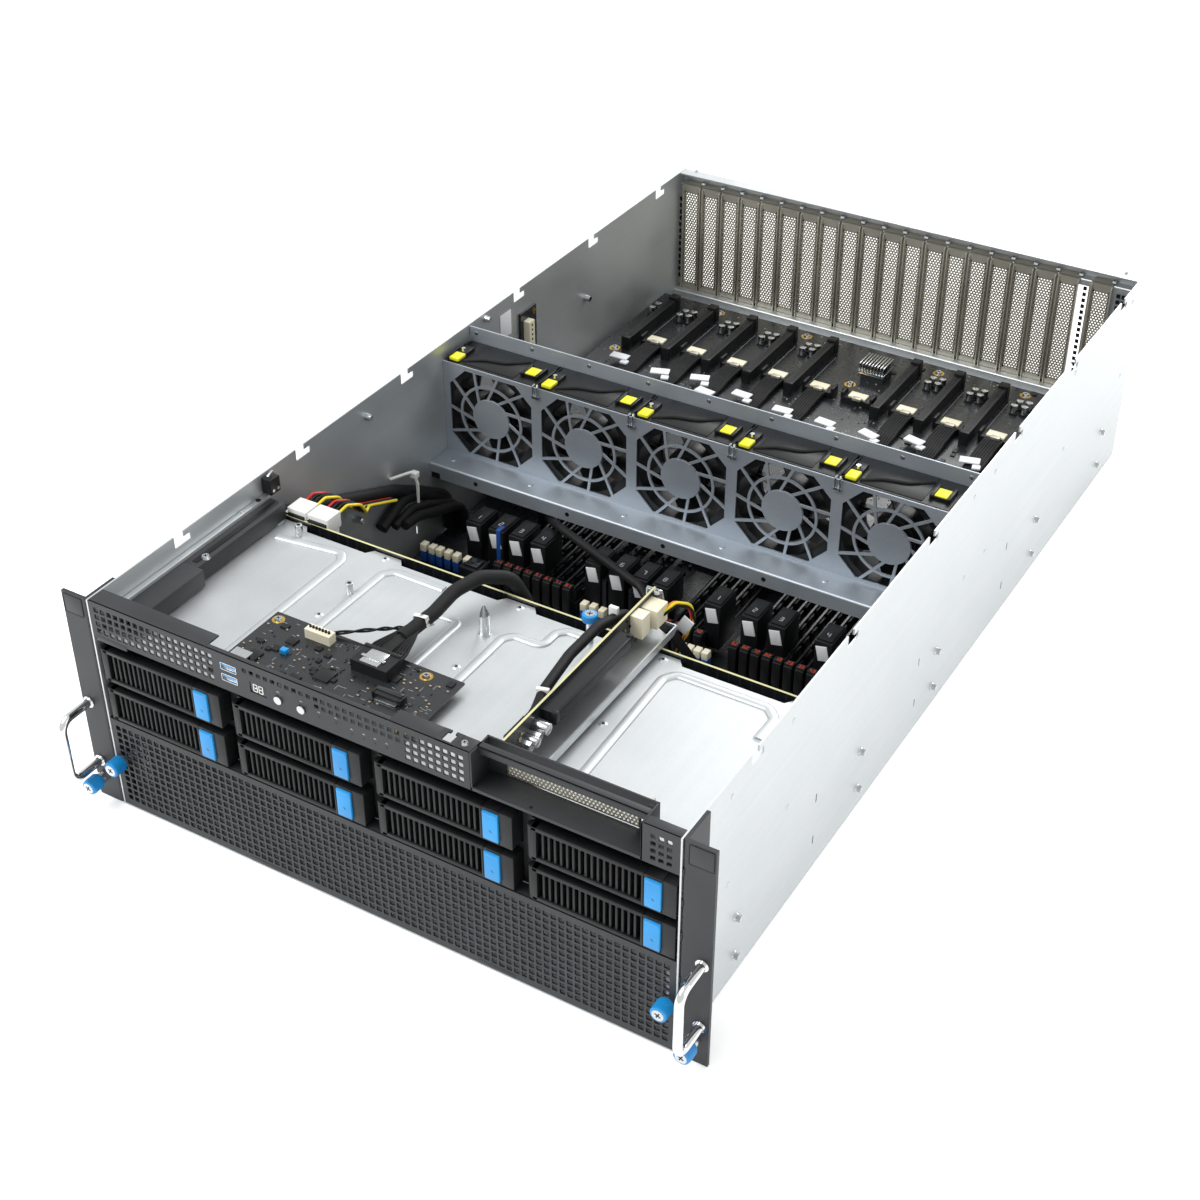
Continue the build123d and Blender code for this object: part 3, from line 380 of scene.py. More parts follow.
def plate(shape, place, u0, u1, v0, v1, thick, mat):
    """Plain rectangular piece of the same sheet."""
    mesh = shape.mesh
    low = [mesh.verts.new(place(u, v, 0)) for u, v in ((u0, v0), (u1, v0), (u1, v1), (u0, v1))]
    high = [mesh.verts.new(place(u, v, thick)) for u, v in ((u0, v0), (u1, v0), (u1, v1), (u0, v1))]
    faces = [mesh.faces.new(low), mesh.faces.new(high)]
    for k in range(4):
        n = (k + 1) % 4
        faces.append(mesh.faces.new((low[k], low[n], high[n], high[k])))
    shape.finish_with(faces, mat)


def front_place(y):
    return lambda u, v, w: Vector((u, y + w, v))


def rows(first, pitch, count):
    return [first + pitch * i for i in range(count)]


# Lower grille: twelve rows of square holes in one folded black sheet
GRILLE_PITCH = 5.58


def lower_grille():
    shape = Shape()
    xs = rows(-212.0, GRILLE_PITCH, 77)
    zs = rows(8.6, 5.6, 12)
    centres = [(x, z) for x in xs for z in zs]
    half = 218.25
    x0, x1 = xs[0] - GRILLE_PITCH / 2, xs[-1] + GRILLE_PITCH / 2
    z0, z1 = zs[0] - 2.8, zs[-1] + 2.8
    border = [(-half, x0, 1.5, 77), (x1, half, 1.5, 77), (x0, x1, 1.5, z0), (x0, x1, z1, 77)]
    punched(shape, front_place(0), border, centres, GRILLE_PITCH, 5.6, "square", 2.05, 1.2, "coat")
    for side in (-1, 1):
        shape.box(min(side * half, side * (half - 1.2)), max(side * half, side * (half - 1.2)), 1.0, 12.0, 2.3, 77.0, "coat", 0.2)
    shape.box(-half, half, 0.5, 10.7, 75.8, 77.0, "coat", 0.3)
    for x0, x1 in ((-107.0, -76.0), (77.0, 105.0)):
        shape.box(x0, x1, -0.35, 0.9, 1.5, 4.2, "coat", 0.3)
    shape.make("lower_grille", "grille", ["front_grille"])


def knurled_screw(shape, x, z, stand):
    """Blue knurled head with a bright cross-recessed face, on a bright neck; the cross recess is two black bars on the
    face, painted shade.
    """
    head = 11.0
    y0 = -stand - head
    mesh = shape.mesh
    count = 36
    rings = []
    for y, r, wave in ((y0, 4.7, 0), (y0 + 0.5, 5.5, 0), (y0 + 1.6, 5.75, 0), (y0 + 1.9, 5.9, 0.28), (-stand - 1.4, 5.9, 0.28), (-stand - 0.7, 5.4, 0), (-stand, 5.1, 0)):
        ring = []
        for k in range(count * 2):
            angle = math.pi * k / count
            rr = r - (wave if k % 2 else 0)
            ring.append(mesh.verts.new((x + rr * math.cos(angle), y, z + rr * math.sin(angle))))
        rings.append(ring)
    faces = []
    for one, two in zip(rings, rings[1:]):
        for k in range(count * 2):
            n = (k + 1) % (count * 2)
            faces.append(mesh.faces.new((one[k], one[n], two[n], two[k])))
    faces.append(mesh.faces.new(rings[-1]))
    faces.append(mesh.faces.new(rings[0]))
    shape.finish_with(faces, "blue")
    shape.rod((x, y0 - 0.15, z), (x, y0 + 0.6, z), 4.1, "zinc", 28)
    # Cross recess as two black bars on the bright face: painted shade
    for turn in (0.5, 0.5 + math.pi / 2):
        arm = Matrix.Rotation(turn, 3, "Y")
        shape.box(x - 2.2, x + 2.2, y0 - 0.25, y0 - 0.1, z - 0.45, z + 0.45, "plastic", 0, arm)
    shape.rod((x, -stand - 0.2, z), (x, -0.05, z), 4.2, "zinc", 24)


def screws():
    shape = Shape()
    for side in (-1, 1):
        knurled_screw(shape, side * 232.55, 20.6, 7.0)
        shape.rod((side * 232.55, -0.5, 20.6), (side * 232.55, 8.5, 20.6), 2.6, "zinc", 20)
    shape.make("ear_thumbscrews", "chassis", ["thumbscrews"], 30)
    shape = Shape()
    for side in (-1, 1):
        knurled_screw(shape, side * 213.4, 41.0, 1.5)
        shape.rod((side * 213.4, -0.5, 41.0), (side * 213.4, 18.0, 41.0), 2.5, "zinc", 20)
    shape.make("grille_thumbscrew_pair", "grille", ["grille_thumbscrews"], 30)


# Trays

def tray_looks():
    """Each tray: latch block with its indicator holes (black discs, painted shade), swing lever with upright bars, blue
    latch.
    """
    pitch_x, row_z, pitch_z = 110.8, 91.1, 32.6
    number = 0
    for row in range(2):
        for column in range(4):
            number += 1
            x = (column - 1.5) * pitch_x
            z = row_z + row * pitch_z
            body = Shape()
            x0, x1 = x + 29.3, x + 50.8
            body.box(x0, x + 30.1, 0, 22, z - 13, z + 13, "plastic")
            body.box(x + 41.3, x1, 0, 22, z - 13, z + 13, "plastic", 0.7)
            body.box(x + 30.0, x + 41.4, 0, 22, z + 10.95, z + 13, "plastic", 0.3)
            body.box(x + 30.0, x + 41.4, 0, 22, z - 13, z - 10.95, "plastic", 0.3)
            body.box(x + 30.0, x + 41.4, 5.5, 22, z - 11, z + 11, "plastic")
            # Indicator holes as flat black discs: painted shade inside the holes
            for dz in (-4.6, 5.2):
                body.rod((x + 46.3, -0.06, z + dz), (x + 46.3, 0.3, z + dz), 0.55, "fan_black", 12)
            body.box(x - 50.8, x + 30, 7.3, 10.3, z - 13, z + 13, "fan_black")
            for side in (-1, 1):
                edge = x + side * 50.8
                body.box(min(edge, edge - side * 1.6), max(edge, edge - side * 1.6), 9.3, 160, z - 13, z + 9, "plastic", 0.2)
                body.box(min(edge, edge - side * 10), max(edge, edge - side * 10), 9.3, 160, z - 13, z - 11.4, "plastic", 0.2)
            body.box(x - 50.3, x + 50.3, 154, 160, z - 13, z - 5, "plastic", 0.3)
            body.make(f"tray_{number}_body", f"tray_{number}", [f"tray_carrier_{number}"])
            lever = Shape()
            left, right = x - 50.8, x + 29.0
            lever.rod((left + 3.6, 3.5, z - 13), (left + 3.6, 3.5, z + 13), 3.5, "plastic", 32, 3.5, 0.5)
            lever.box(left + 3.6, left + 7.4, 0, 7, z - 13, z + 13, "plastic", 0.3)
            lever.box(right - 1.4, right, 0, 7, z - 13, z + 13, "plastic", 0.25)
            lever.box(left + 3.6, right - 0.6, 0, 7, z + 10.2, z + 13, "plastic", 0.5)
            lever.box(left + 3.6, right - 0.6, 0, 7, z - 13, z - 10.2, "plastic", 0.5)
            step = (right - 1.4 - (left + 7.4)) / 17
            for k in range(1, 17):
                bx = left + 7.4 + step * k - 0.8
                lever.box(bx, bx + 1.6, 0.9, 6.5, z - 10.4, z + 10.4, "plastic", 0.2)
            lever.make(f"tray_{number}_lever", f"lever_{number}", [f"tray_lever_{number}"])
            latch = Shape()
            latch.box(x + 30.2, x + 41.2, -1.2, 3.2, z - 10.85, z + 10.85, "blue", 0.45)
            latch.box(x + 30.8, x + 40.6, -1.6, -1.1, z + 8.6, z + 10.4, "blue", 0.2)
            mark = Matrix.Rotation(0.7, 3, "Y")
            latch.box(x + 35.0, x + 37.0, -1.28, -1.1, z - 3.6, z - 3.1, "plastic", 0, mark)
            latch.make(f"tray_{number}_latch", f"latch_{number}", [f"tray_latch_{number}"])


lower_grille()
screws()
tray_looks()


def fill(shape, place, area, gaps, thick, mat):
    """Sheet over area (u0, u1, v0, v1) with rectangular gaps left out."""
    us = sorted({area[0], area[1]} | {u for g in gaps for u in g[:2]})
    vs = sorted({area[2], area[3]} | {v for g in gaps for v in g[2:]})
    for u0, u1 in zip(us, us[1:]):
        low = None
        for v0, v1 in zip(vs, vs[1:]):
            mu, mv = (u0 + u1) / 2, (v0 + v1) / 2
            inside = any(g[0] < mu < g[1] and g[2] < mv < g[3] for g in gaps)
            if not inside and low is None:
                low = v0
            if inside and low is not None:
                plate(shape, place, u0, u1, low, v0, thick, mat)
                low = None
        if low is not None:
            plate(shape, place, u0, u1, low, vs[-1], thick, mat)


def field(shape, place, xs, zs, pitch_x, pitch_z, hole, r, thick, mat):
    """Block of punched cells; returns the rectangle that it covers."""
    punched(shape, place, [], [(x, z) for x in xs for z in zs], pitch_x, pitch_z, hole, r, thick, mat)
    return (xs[0] - pitch_x / 2, xs[-1] + pitch_x / 2, zs[0] - pitch_z / 2, zs[-1] + pitch_z / 2)


def digits(shape, x, z, y, w, h, text, mat):
    """Seven-segment digits facing the front, drawn as thin bars."""
    lit = {"0": "abcdef", "1": "bc", "2": "abged", "3": "abgcd", "4": "fgbc", "5": "afgcd", "8": "abcdefg"}
    t = h * 0.1
    for k, digit in enumerate(text):
        cx = x + k * w * 1.5
        places = {
            "a": (cx, z + h / 2, w, t), "g": (cx, z, w, t), "d": (cx, z - h / 2, w, t),
            "f": (cx - w / 2, z + h / 4, t, h / 2), "b": (cx + w / 2, z + h / 4, t, h / 2),
            "e": (cx - w / 2, z - h / 4, t, h / 2), "c": (cx + w / 2, z - h / 4, t, h / 2),
        }
        for name in lit[digit]:
            sx, sz, sw, sh = places[name]
            shape.box(sx - sw / 2, sx + sw / 2, y - 0.06, y + 0.1, sz - sh / 2, sz + sh / 2, mat)


# Front strip with its hole fields, sockets, display and card slot
STRIP_TOP = 174.5
HOLE_PITCH = 5.55


def front_strip():
    shape = Shape()
    face = front_place(0)
    half = 218.4
    zs = rows(152.0, 5.56, 4)
    gaps = [field(shape, face, rows(-212.4, HOLE_PITCH, 18), zs, HOLE_PITCH, 5.56, "square", 1.95, 1.2, "coat")]
    gaps.append(field(shape, face, rows(32.9, 5.5, 8), rows(151.5, 5.5, 4), 5.5, 5.5, "square", 1.95, 1.2, "coat"))
    gaps.append(field(shape, face, rows(-90.1, 5.53, 22), [168.0], 5.53, 5.5, "square", 1.75, 1.2, "coat"))
    gaps.append(field(shape, face, rows(-34.5, 5.53, 12), [162.4], 5.53, 5.5, "square", 1.75, 1.2, "coat"))
    for z in (165.0, 156.4):
        gaps.append((-109.6, -96.4, z - 2.9, z + 2.9))
    gaps.append((-86.8, -73.8, 152.9, 161.3))
    for x in (-64.3, -46.4):
        punched(shape, face, [], [(x, 155.8)], 8.0, 8.0, "round", 3.35, 1.2, "coat")
        gaps.append((x - 4, x + 4, 151.8, 159.8))
    fill(shape, face, (-half, 77.6, 146.2, STRIP_TOP), gaps, 1.2, "coat")
    for x0, x1, depth in ((-half, -121, 14.6), (-121, 20, 4.4), (20, 52.5, 12.7), (67.0, 77.6, 12.7)):
        shape.box(x0, x1, 0.05, depth, STRIP_TOP - 1.2, STRIP_TOP, "coat", 0.25)
    shape.box(52.5, 56.4, 0.05, 12.7, STRIP_TOP - 1.2, STRIP_TOP, "coat")
    shape.box(63.2, 67.0, 0.05, 12.7, STRIP_TOP - 1.2, STRIP_TOP, "coat")
    shape.box(56.4, 63.2, 0.05, 2.6, STRIP_TOP - 1.2, STRIP_TOP, "coat")
    shape.box(56.4, 58.1, 10.4, 12.7, STRIP_TOP - 1.2, STRIP_TOP, "coat")
    shape.box(61.5, 63.2, 10.4, 12.7, STRIP_TOP - 1.2, STRIP_TOP, "coat")
    shape.box(-half, 77.6, 0.1, 10.7, 146.2, 147.4, "coat", 0.25)
    for x0, x1 in ((-216, -114), (20, 76)):
        shape.box(x0, x1, 1.4, 17.0, 147.3, 147.7, "zinc")
    shape.box(-216, -190, -0.3, 1.0, 143.6, 147.6, "coat", 0.5)
    for z in (165.0, 156.4):
        shape.box(-109.4, -96.6, -0.25, 14.0, z + 2.35, z + 2.8, "zinc", 0.1)
        shape.box(-109.4, -96.6, -0.25, 14.0, z - 2.8, z - 2.35, "zinc", 0.1)
        shape.box(-109.4, -108.95, -0.25, 14.0, z - 2.8, z + 2.8, "zinc", 0.1)
        shape.box(-97.05, -96.6, -0.25, 14.0, z - 2.8, z + 2.8, "zinc", 0.1)
        shape.box(-108.4, -97.6, 0.4, 12.0, z + 0.2, z + 1.9, "blue", 0.2)
        shape.box(-109, -97, 12.0, 13.0, z - 2.5, z + 2.5, "plastic")
    shape.box(-86.6, -74.0, 0.35, 2.0, 153.1, 161.1, "glass", 0.2)
    digits(shape, -82.7, 157.1, 0.3, 2.9, 5.4, "88", "white")
    # LED holes as flat black discs: painted shade inside the holes
    for x, z in ((-33, 155.3), (-20.1, 156.2), (-8.5, 152.3), (0.6, 152.2), (9, 152.2), (17.6, 152.4)):
        shape.rod((x, -0.05, z), (x, 0.2, z), 0.8, "fan_black", 12)
    for x, z, w in ((-64.3, 161.6, 2.4), (-46.4, 161.6, 2.4), (-33, 158.6, 2.2), (-20.1, 159.4, 2.2), (-8.5, 155.6, 2.0), (0.6, 155.6, 2.0), (9, 155.6, 2.0), (17.6, 155.6, 2.0)):
        shape.box(x - w / 2, x + w / 2, -0.04, 0.1, z - 0.16, z + 0.16, "grey_print")
        shape.box(x - w / 4, x + w / 4, -0.04, 0.1, z + 0.4, z + 0.7, "grey_print")
    shape.pan_screw((70.9, 6, STRIP_TOP), (0, 0, 1), 2.6, "zinc", "plastic")
    # Card slot: walls, sill, top bar and back plate
    shape.box(77.9, 79.1, 0, 20, 146.2, STRIP_TOP, "coat", 0.15)
    shape.box(193.0, 194.2, 0, 20, 146.2, STRIP_TOP, "coat", 0.15)
    shape.box(77.9, 194.2, 0, 1.2, 146.2, 148.6, "coat", 0.2)
    shape.box(77.9, 194.2, 0.6, 20, 147.4, 148.6, "coat", 0.15)
    # Black disc on the sill: painted shade inside a hole
    shape.rod((118, 3.2, 148.55), (118, 3.2, 148.66), 1.3, "fan_black", 16)
    shape.box(77.9, 193.0, 7.5, 8.7, 169.5, STRIP_TOP, "coat", 0.2)
    shape.box(77.9, 193.0, 7.5, 13.0, 173.3, STRIP_TOP, "coat", 0.2)
    fill(shape, front_place(18.8), (77.9, 194.2, 146.2, STRIP_TOP), [(90.8, 181.4, 148.4, 167.0)], 1.2, "coat")
    shape.box(187.5, 191.5, 9.0, 19.0, 168.8, 170.2, "zinc", 0.3)
    shape.box(188.3, 190.7, 9.0, 10.0, 160.0, 170.2, "zinc", 0.3)
    # Small panel at the right
    right = field(shape, face, rows(201.0, 5.3, 3), rows(151.1, 5.5, 4), 5.3, 5.5, "square", 1.75, 1.2, "coat")
    fill(shape, face, (193.0, half, 146.2, STRIP_TOP), [right], 1.2, "coat")
    shape.box(194.2, half, 0.1, 8.0, STRIP_TOP - 1.2, STRIP_TOP, "coat", 0.25)
    shape.make("front_strip_and_card_slot", "chassis", ["front_panels"])


# Perforated slot covers
COVER_LEFTS = [-215.6 + 20.32 * i for i in range(19)] + [179.4]


def hex_field(shape, place, u0, u1, v0, v1, pitch, r, thick, mat):
    """Staggered round holes in hexagonal cells; plain strips close the edges."""
    mesh = shape.mesh
    faces = []
    side = pitch / math.sqrt(3)
    across = int((u1 - u0) / pitch)
    up = int((v1 - v0 - side / 2) / (side * 1.5))
    start_u = (u0 + u1) / 2 - (across - 1) * pitch / 2
    start_v = (v0 + v1) / 2 - (up - 1) * side * 0.75
    angles = [math.pi / 6 + math.pi / 3 * k for k in range(6)]
    for j in range(up):
        shift = pitch / 4 if j % 2 else -pitch / 4
        for i in range(across):
            cu, cv = start_u + i * pitch + shift, start_v + j * side * 1.5
            layers = []
            for w in (0, thick):
                outer = [mesh.verts.new(place(cu + side * math.cos(a), cv + side * math.sin(a), w)) for a in angles]
                inner = [mesh.verts.new(place(cu + r * math.cos(a), cv + r * math.sin(a), w)) for a in angles]
                for k in range(6):
                    n = (k + 1) % 6
                    faces.append(mesh.faces.new((outer[k], outer[n], inner[n], inner[k])))
                layers.append(inner)
            for k in range(6):
                n = (k + 1) % 6
                faces.append(mesh.faces.new((layers[0][k], layers[0][n], layers[1][n], layers[1][k])))
    shape.finish_with(faces, mat)
    half_w = across * pitch / 2
    middle = (u0 + u1) / 2
    top, low = start_v + (up - 1) * side * 1.5, start_v
    plate(shape, place, u0, middle - half_w + pitch / 4, v0, v1, thick * 0.96, mat)
    plate(shape, place, middle + half_w - pitch / 4, u1, v0, v1, thick * 0.96, mat)
    plate(shape, place, u0, u1, v0, low - side / 2, thick * 0.98, mat)
    plate(shape, place, u0, u1, top + side / 2, v1, thick * 0.98, mat)


def covers():
    shape = Shape()
    for left in COVER_LEFTS:
        place = front_place(792.0)
        hex_field(shape, place, left + 1.9, left + 16.5, 63.0, 157.5, 2.72, 0.82, 1.0, "nickel")
        fill(shape, place, (left, left + 18.4, 52.0, 164.5), [(left + 1.9, left + 16.5, 63.0, 157.5)], 1.0, "nickel")
        for x in (left + 0.5, left + 17.9):
            shape.box(x - 0.5, x + 0.5, 790.4, 792.4, 54.0, 162.0, "nickel", 0.3)
        shape.box(left, left + 18.4, 792.0, 801.4, 163.5, 164.5, "nickel", 0.3)
    for left in COVER_LEFTS[1:]:
        shape.box(left - 2.2, left + 0.3, 793.1, 793.7, 60.0, 160.0, "nickel")
    front = 90.0
    place = front_place(20.0)
    hex_field(shape, place, front + 1, front + 91, 149.4, 167.0, 2.72, 0.92, 0.8, "nickel")
    fill(shape, place, (front, front + 96, 149.2, 167.6), [(front + 1, front + 91, 149.4, 167.0)], 0.8, "nickel")
    shape.box(front + 95, front + 96, 20.0, 29.4, 149.2, 167.6, "nickel", 0.2)
    shape.make("perforated_slot_covers", "chassis", ["slot_covers"])
    shape = Shape()
    for x in (-199.2, -160.9, -122.6):
        hex_field(shape, front_place(800.6), x - 15.5, x + 15.5, 5.5, 38.5, 3.6, 1.35, 0.9, "galvanised")
    shape.make("rear_vent_mesh", "chassis")
    shape = Shape()
    for left in COVER_LEFTS:
        shape.pan_screw((left + 17.4, 799.2, 164.5), (0, 0, 1), 2.7, "zinc", "plastic")
    for x in (-206, 205):
        shape.rod((x, 799.5, 173.9), (x, 799.5, 176.4), 1.5, "zinc", 14, 1.3)
    # Openings in the rear frame left of the covers, drawn as black patches: painted shade
    for x in (-217.4,):
        for z in rows(70, 6.5, 13):
            shape.box(x - 1.1, x + 1.1, 791.9, 793.05, z - 1.9, z + 1.9, "fan_black")
    # Openings right of the covers, drawn as thin black patches: painted shade
    for x0, count in ((174.3, 1), (203.4, 2)):
        for i in range(count):
            for z in rows(66, 5.6, 17):
                x = x0 + 4.6 * i
                shape.box(x - 1.6, x + 1.6, 792.9, 793.05, z - 1.8, z + 1.8, "fan_black", 0.0)
    shape.make("rear_screws", "chassis")


# Handles and ears

def handles_and_ears():
    shape = Shape()
    for side in (-1, 1):
        x = side * 235.2
        high, low, reach, r = 83.95, 32.45, 27.5, 9.0
        points = [(x, 0.6, high), (x, -reach + r, high)]
        for k in range(1, 8):
            a = math.pi / 2 * k / 8
            points.append((x, -reach + r - r * math.sin(a), high - r + r * math.cos(a)))
        points.append((x, -reach, high - r))
        points.append((x, -reach, low + r))
        for k in range(1, 8):
            a = math.pi / 2 * k / 8
            points.append((x, -reach + r - r * math.cos(a), low + r - r * math.sin(a)))
        points.append((x, -reach + r, low))
        points.append((x, 0.6, low))
        shape.tube(points, 3.05, "chrome", 24)
        for z in (high, low):
            shape.rod((x, -0.9, z), (x, 0.1, z), 4.4, "chrome", 24, 4.0)
    shape.make("chrome_handles", "chassis", ["pull_handles"], 50)
    shape = Shape()
    for side in (-1, 1):
        x0, x1 = sorted((side * 224.0, side * 240.0))
        shape.box(x0, x1, -0.45, 0.4, 158.2, 173.0, "coat", 0.9)
        # Notches in the inner edge of the ears, drawn as black blocks: painted shade
        for z in (150.0, 126.0, 100.0, 64.0, 14.0):
            x0, x1 = sorted((side * 219.9, side * 221.4))
            shape.box(x0, x1, -0.05, 0.5, z - 2.4, z + 2.4, "fan_black")
    shape.make("ear_details", "chassis")


def paint(node, rules):
    """Give a CAD node's faces another finish inside boxes (x0, x1, y0, y1, z0, z1) in millimetres."""
    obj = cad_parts[node]
    data = obj.data
    for mat, x0, x1, y0, y1, z0, z1 in rules:
        if MATS[mat].name not in [m.name for m in data.materials]:
            data.materials.append(MATS[mat])
        index = [m.name for m in data.materials].index(MATS[mat].name)
        for polygon in data.polygons:
            c = obj.matrix_world @ polygon.center / MM
            if x0 < c.x < x1 and y0 < c.y < y1 and z0 < c.z < z1:
                polygon.material_index = index


def rounded(points, radii, steps=6):
    """Points of a line with tangent arcs at its inner corners."""
    made = [Vector(points[0])]
    for i in range(1, len(points) - 1):
        a, b, c = (Vector(p) for p in points[i - 1:i + 2])
        one, two = (a - b).normalized(), (c - b).normalized()
        half = one.angle(two) / 2
        cut = min(radii[i - 1] / math.tan(half), (a - b).length * 0.49, (c - b).length * 0.49)
        r = cut * math.tan(half)
        centre = b + (one + two).normalized() * (r / math.sin(half))
        start, end = b + one * cut - centre, b + two * cut - centre
        for k in range(steps + 1):
            made.append(centre + start.slerp(end, k / steps).normalized() * start.length)
    made.append(Vector(points[-1]))
    return made


def ridge(shape, points, half_w, height, z, mat):
    """Soft embossed rib along points on a sheet at height z."""
    mesh = shape.mesh
    flat = [Vector((p[0], p[1], 0)) for p in points]
    rings = []
    for i, p in enumerate(flat):
        ahead = (flat[min(i + 1, len(flat) - 1)] - flat[max(i - 1, 0)]).normalized()
        side = Vector((-ahead.y, ahead.x, 0))
        ring = []
        for k in range(9):
            a = math.pi * k / 8
            ring.append(mesh.verts.new(p + side * half_w * math.cos(a) + Vector((0, 0, z - 0.05 + height * math.sin(a) ** 0.8))))
        rings.append(ring)
    faces = []
    for one, two in zip(rings, rings[1:]):
        for k in range(8):
            faces.append(mesh.faces.new((one[k], one[k + 1], two[k + 1], two[k])))
    for ring in (rings[0], rings[-1]):
        faces.append(mesh.faces.new(ring))
    shape.finish_with(faces, mat)


def annulus(shape, place, cu, cv, r0, r1, thick, mat, sides=48):
    mesh = shape.mesh
    faces = []
    layers = []
    for w in (0, thick):
        inner = [mesh.verts.new(place(cu + r0 * math.cos(2 * math.pi * k / sides), cv + r0 * math.sin(2 * math.pi * k / sides), w)) for k in range(sides)]
        outer = [mesh.verts.new(place(cu + r1 * math.cos(2 * math.pi * k / sides), cv + r1 * math.sin(2 * math.pi * k / sides), w)) for k in range(sides)]
        layers.append((inner, outer))
    for k in range(sides):
        n = (k + 1) % sides
        for inner, outer in layers:
            faces.append(mesh.faces.new((inner[k], inner[n], outer[n], outer[k])))
        for which in (0, 1):
            faces.append(mesh.faces.new((layers[0][which][k], layers[0][which][n], layers[1][which][n], layers[1][which][k])))
    shape.finish_with(faces, mat)


# Shelf: soft ribs over the CAD beads, rivets, standoffs, guide pin
SHELF_Z = 142.0
COLUMN = 110.8
BEADS = (
    (0, ((88.6, 148.0), (88.6, 21.4), (82.0, 11.5), (29.0, 18.8))),
    (1, ((10.4, 148.0), (11.8, 21.0), (17.0, 16.0), (56.2, 16.3))),
    (1, ((88.3, 148.0), (88.5, 42.0), (84.0, 36.4), (69.0, 37.2))),
    (2, ((12.4, 148.0), (11.7, 41.0), (16.0, 35.6), (34.0, 35.6), (38.8, 31.0), (39.0, 18.0), (43.5, 13.4), (55.4, 13.4))),
    (3, ((17.0, 148.0), (12.2, 23.5), (17.0, 17.0), (80.1, 17.0), (87.2, 24.0), (86.9, 45.4))),
)


def shift_left(points, d):
    """The same line moved to its left by d."""
    moved = []
    for i, p in enumerate(points):
        before = (p - points[i - 1]).normalized() if i else (points[1] - p).normalized()
        after = (points[i + 1] - p).normalized() if i + 1 < len(points) else before
        one, two = Vector((-before.y, before.x, 0)), Vector((-after.y, after.x, 0))
        both = one + two
        moved.append(p + both * (2 * d / both.length_squared))
    return moved


def shelf_details():
    shape = Shape()
    for column, points in BEADS:
        path = [Vector(((column - 2) * COLUMN + x, 178.0 - back, 0)) for x, back in points]
        ridge(shape, rounded(shift_left(path, 2.3), [7.0] * (len(path) - 2)), 3.7, 1.7, SHELF_Z, "galvanised")
    # Rivets; the black disc on each is painted shade in its hollow
    for x, y in ((-110, 98), (0.5, 98), (111, 97), (-110.5, 173.6), (0.9, 173), (111, 172.7)):
        shape.rod((x, y, SHELF_Z), (x, y, SHELF_Z + 0.6), 3.0, "galvanised", 24, 2.2)
        shape.rod((x, y, SHELF_Z + 0.5), (x, y, SHELF_Z + 0.64), 1.1, "fan_black", 16)
    # Standoffs; the black disc on each top is painted shade in its threaded hole
    for x, y in ((-180, 166.6), (-106.7, 128.1)):
        shape.rod((x, y, SHELF_Z), (x, y, SHELF_Z + 9.0), 2.7, "zinc", 24, 2.7, 0.3)
        shape.rod((x, y, SHELF_Z + 8.9), (x, y, SHELF_Z + 9.1), 1.3, "fan_black", 16)
    shape.rod((-3.5, 137, SHELF_Z), (-3.5, 137, SHELF_Z + 1.2), 4.6, "zinc", 28)
    shape.rod((-3.5, 137, SHELF_Z), (-3.5, 137, 157.5), 3.6, "zinc", 28)
    shape.rod((-3.5, 137, 157.5), (-3.5, 137, 165.0), 3.6, "zinc", 28, 0.7)
    # Blue screw beside the riser
    x, y = 60.4, 165.1
    shape.rod((x, y, SHELF_Z), (x, y, 160.0), 2.6, "zinc", 20)
    for k in range(26):
        a = 2 * math.pi * k / 26
        shape.box(x + 4.9 * math.cos(a) - 0.35, x + 4.9 * math.cos(a) + 0.35, y + 4.9 * math.sin(a) - 0.35, y + 4.9 * math.sin(a) + 0.35, 159.6, 164.4, "blue", 0.1)
    shape.rod((x, y, 159.2), (x, y, 164.8), 5.0, "blue", 32, 5.0, 0.5)
    shape.rod((x, y, 164.6), (x, y, 165.0), 3.4, "zinc", 24)
    # Cross recess as two black bars on the head: painted shade
    for turn in (0.4, 0.4 + math.pi / 2):
        shape.box(x - 2.0, x + 2.0, y - 0.4, y + 0.4, 164.95, 165.08, "plastic", 0, Matrix.Rotation(turn, 3, "Z"))
    shape.make("shelf_ribs_and_fasteners", "chassis", (), 50)


# Small parts on the boards

def chips(shape, rng, x0, x1, y0, y1, z, count, keep_out=()):
    """Scattered small chips, capacitors and resistors on a board at height z."""
    for _ in range(count):
        x, y = rng.uniform(x0, x1), rng.uniform(y0, y1)
        if any(a < x < b and c < y < d for a, b, c, d in keep_out):
            continue
        kind = rng.random()
        if kind < 0.12:
            w, l, h, mat = rng.uniform(3, 6), rng.uniform(3, 6), 1.0, "plastic"
        elif kind < 0.5:
            w, l, h, mat = 1.6, 0.9, 0.7, "beige_part"
        else:
            w, l, h, mat = 0.9, 1.7, 0.5, "plastic"
        shape.box(x - w / 2, x + w / 2, y - l / 2, y + l / 2, z - 0.05, z + h, mat)
        if kind >= 0.12:
            shape.box(x - w / 2 - 0.12, x + w / 2 + 0.12, y - l / 2 + l * 0.3, y + l / 2 - l * 0.3, z - 0.05, z + h * 0.8, "zinc")


def marks(shape, rng, x0, x1, y0, y1, z, count, keep_out=()):
    """Short printed strokes on a board."""
    for _ in range(count):
        x, y = rng.uniform(x0, x1), rng.uniform(y0, y1)
        if any(a < x < b and c < y < d for a, b, c, d in keep_out):
            continue
        w, l = (rng.uniform(1.5, 4.5), 0.25) if rng.random() < 0.5 else (0.25, rng.uniform(1.5, 4.5))
        shape.box(x - w / 2, x + w / 2, y - l / 2, y + l / 2, z - 0.02, z + 0.03, "grey_print")


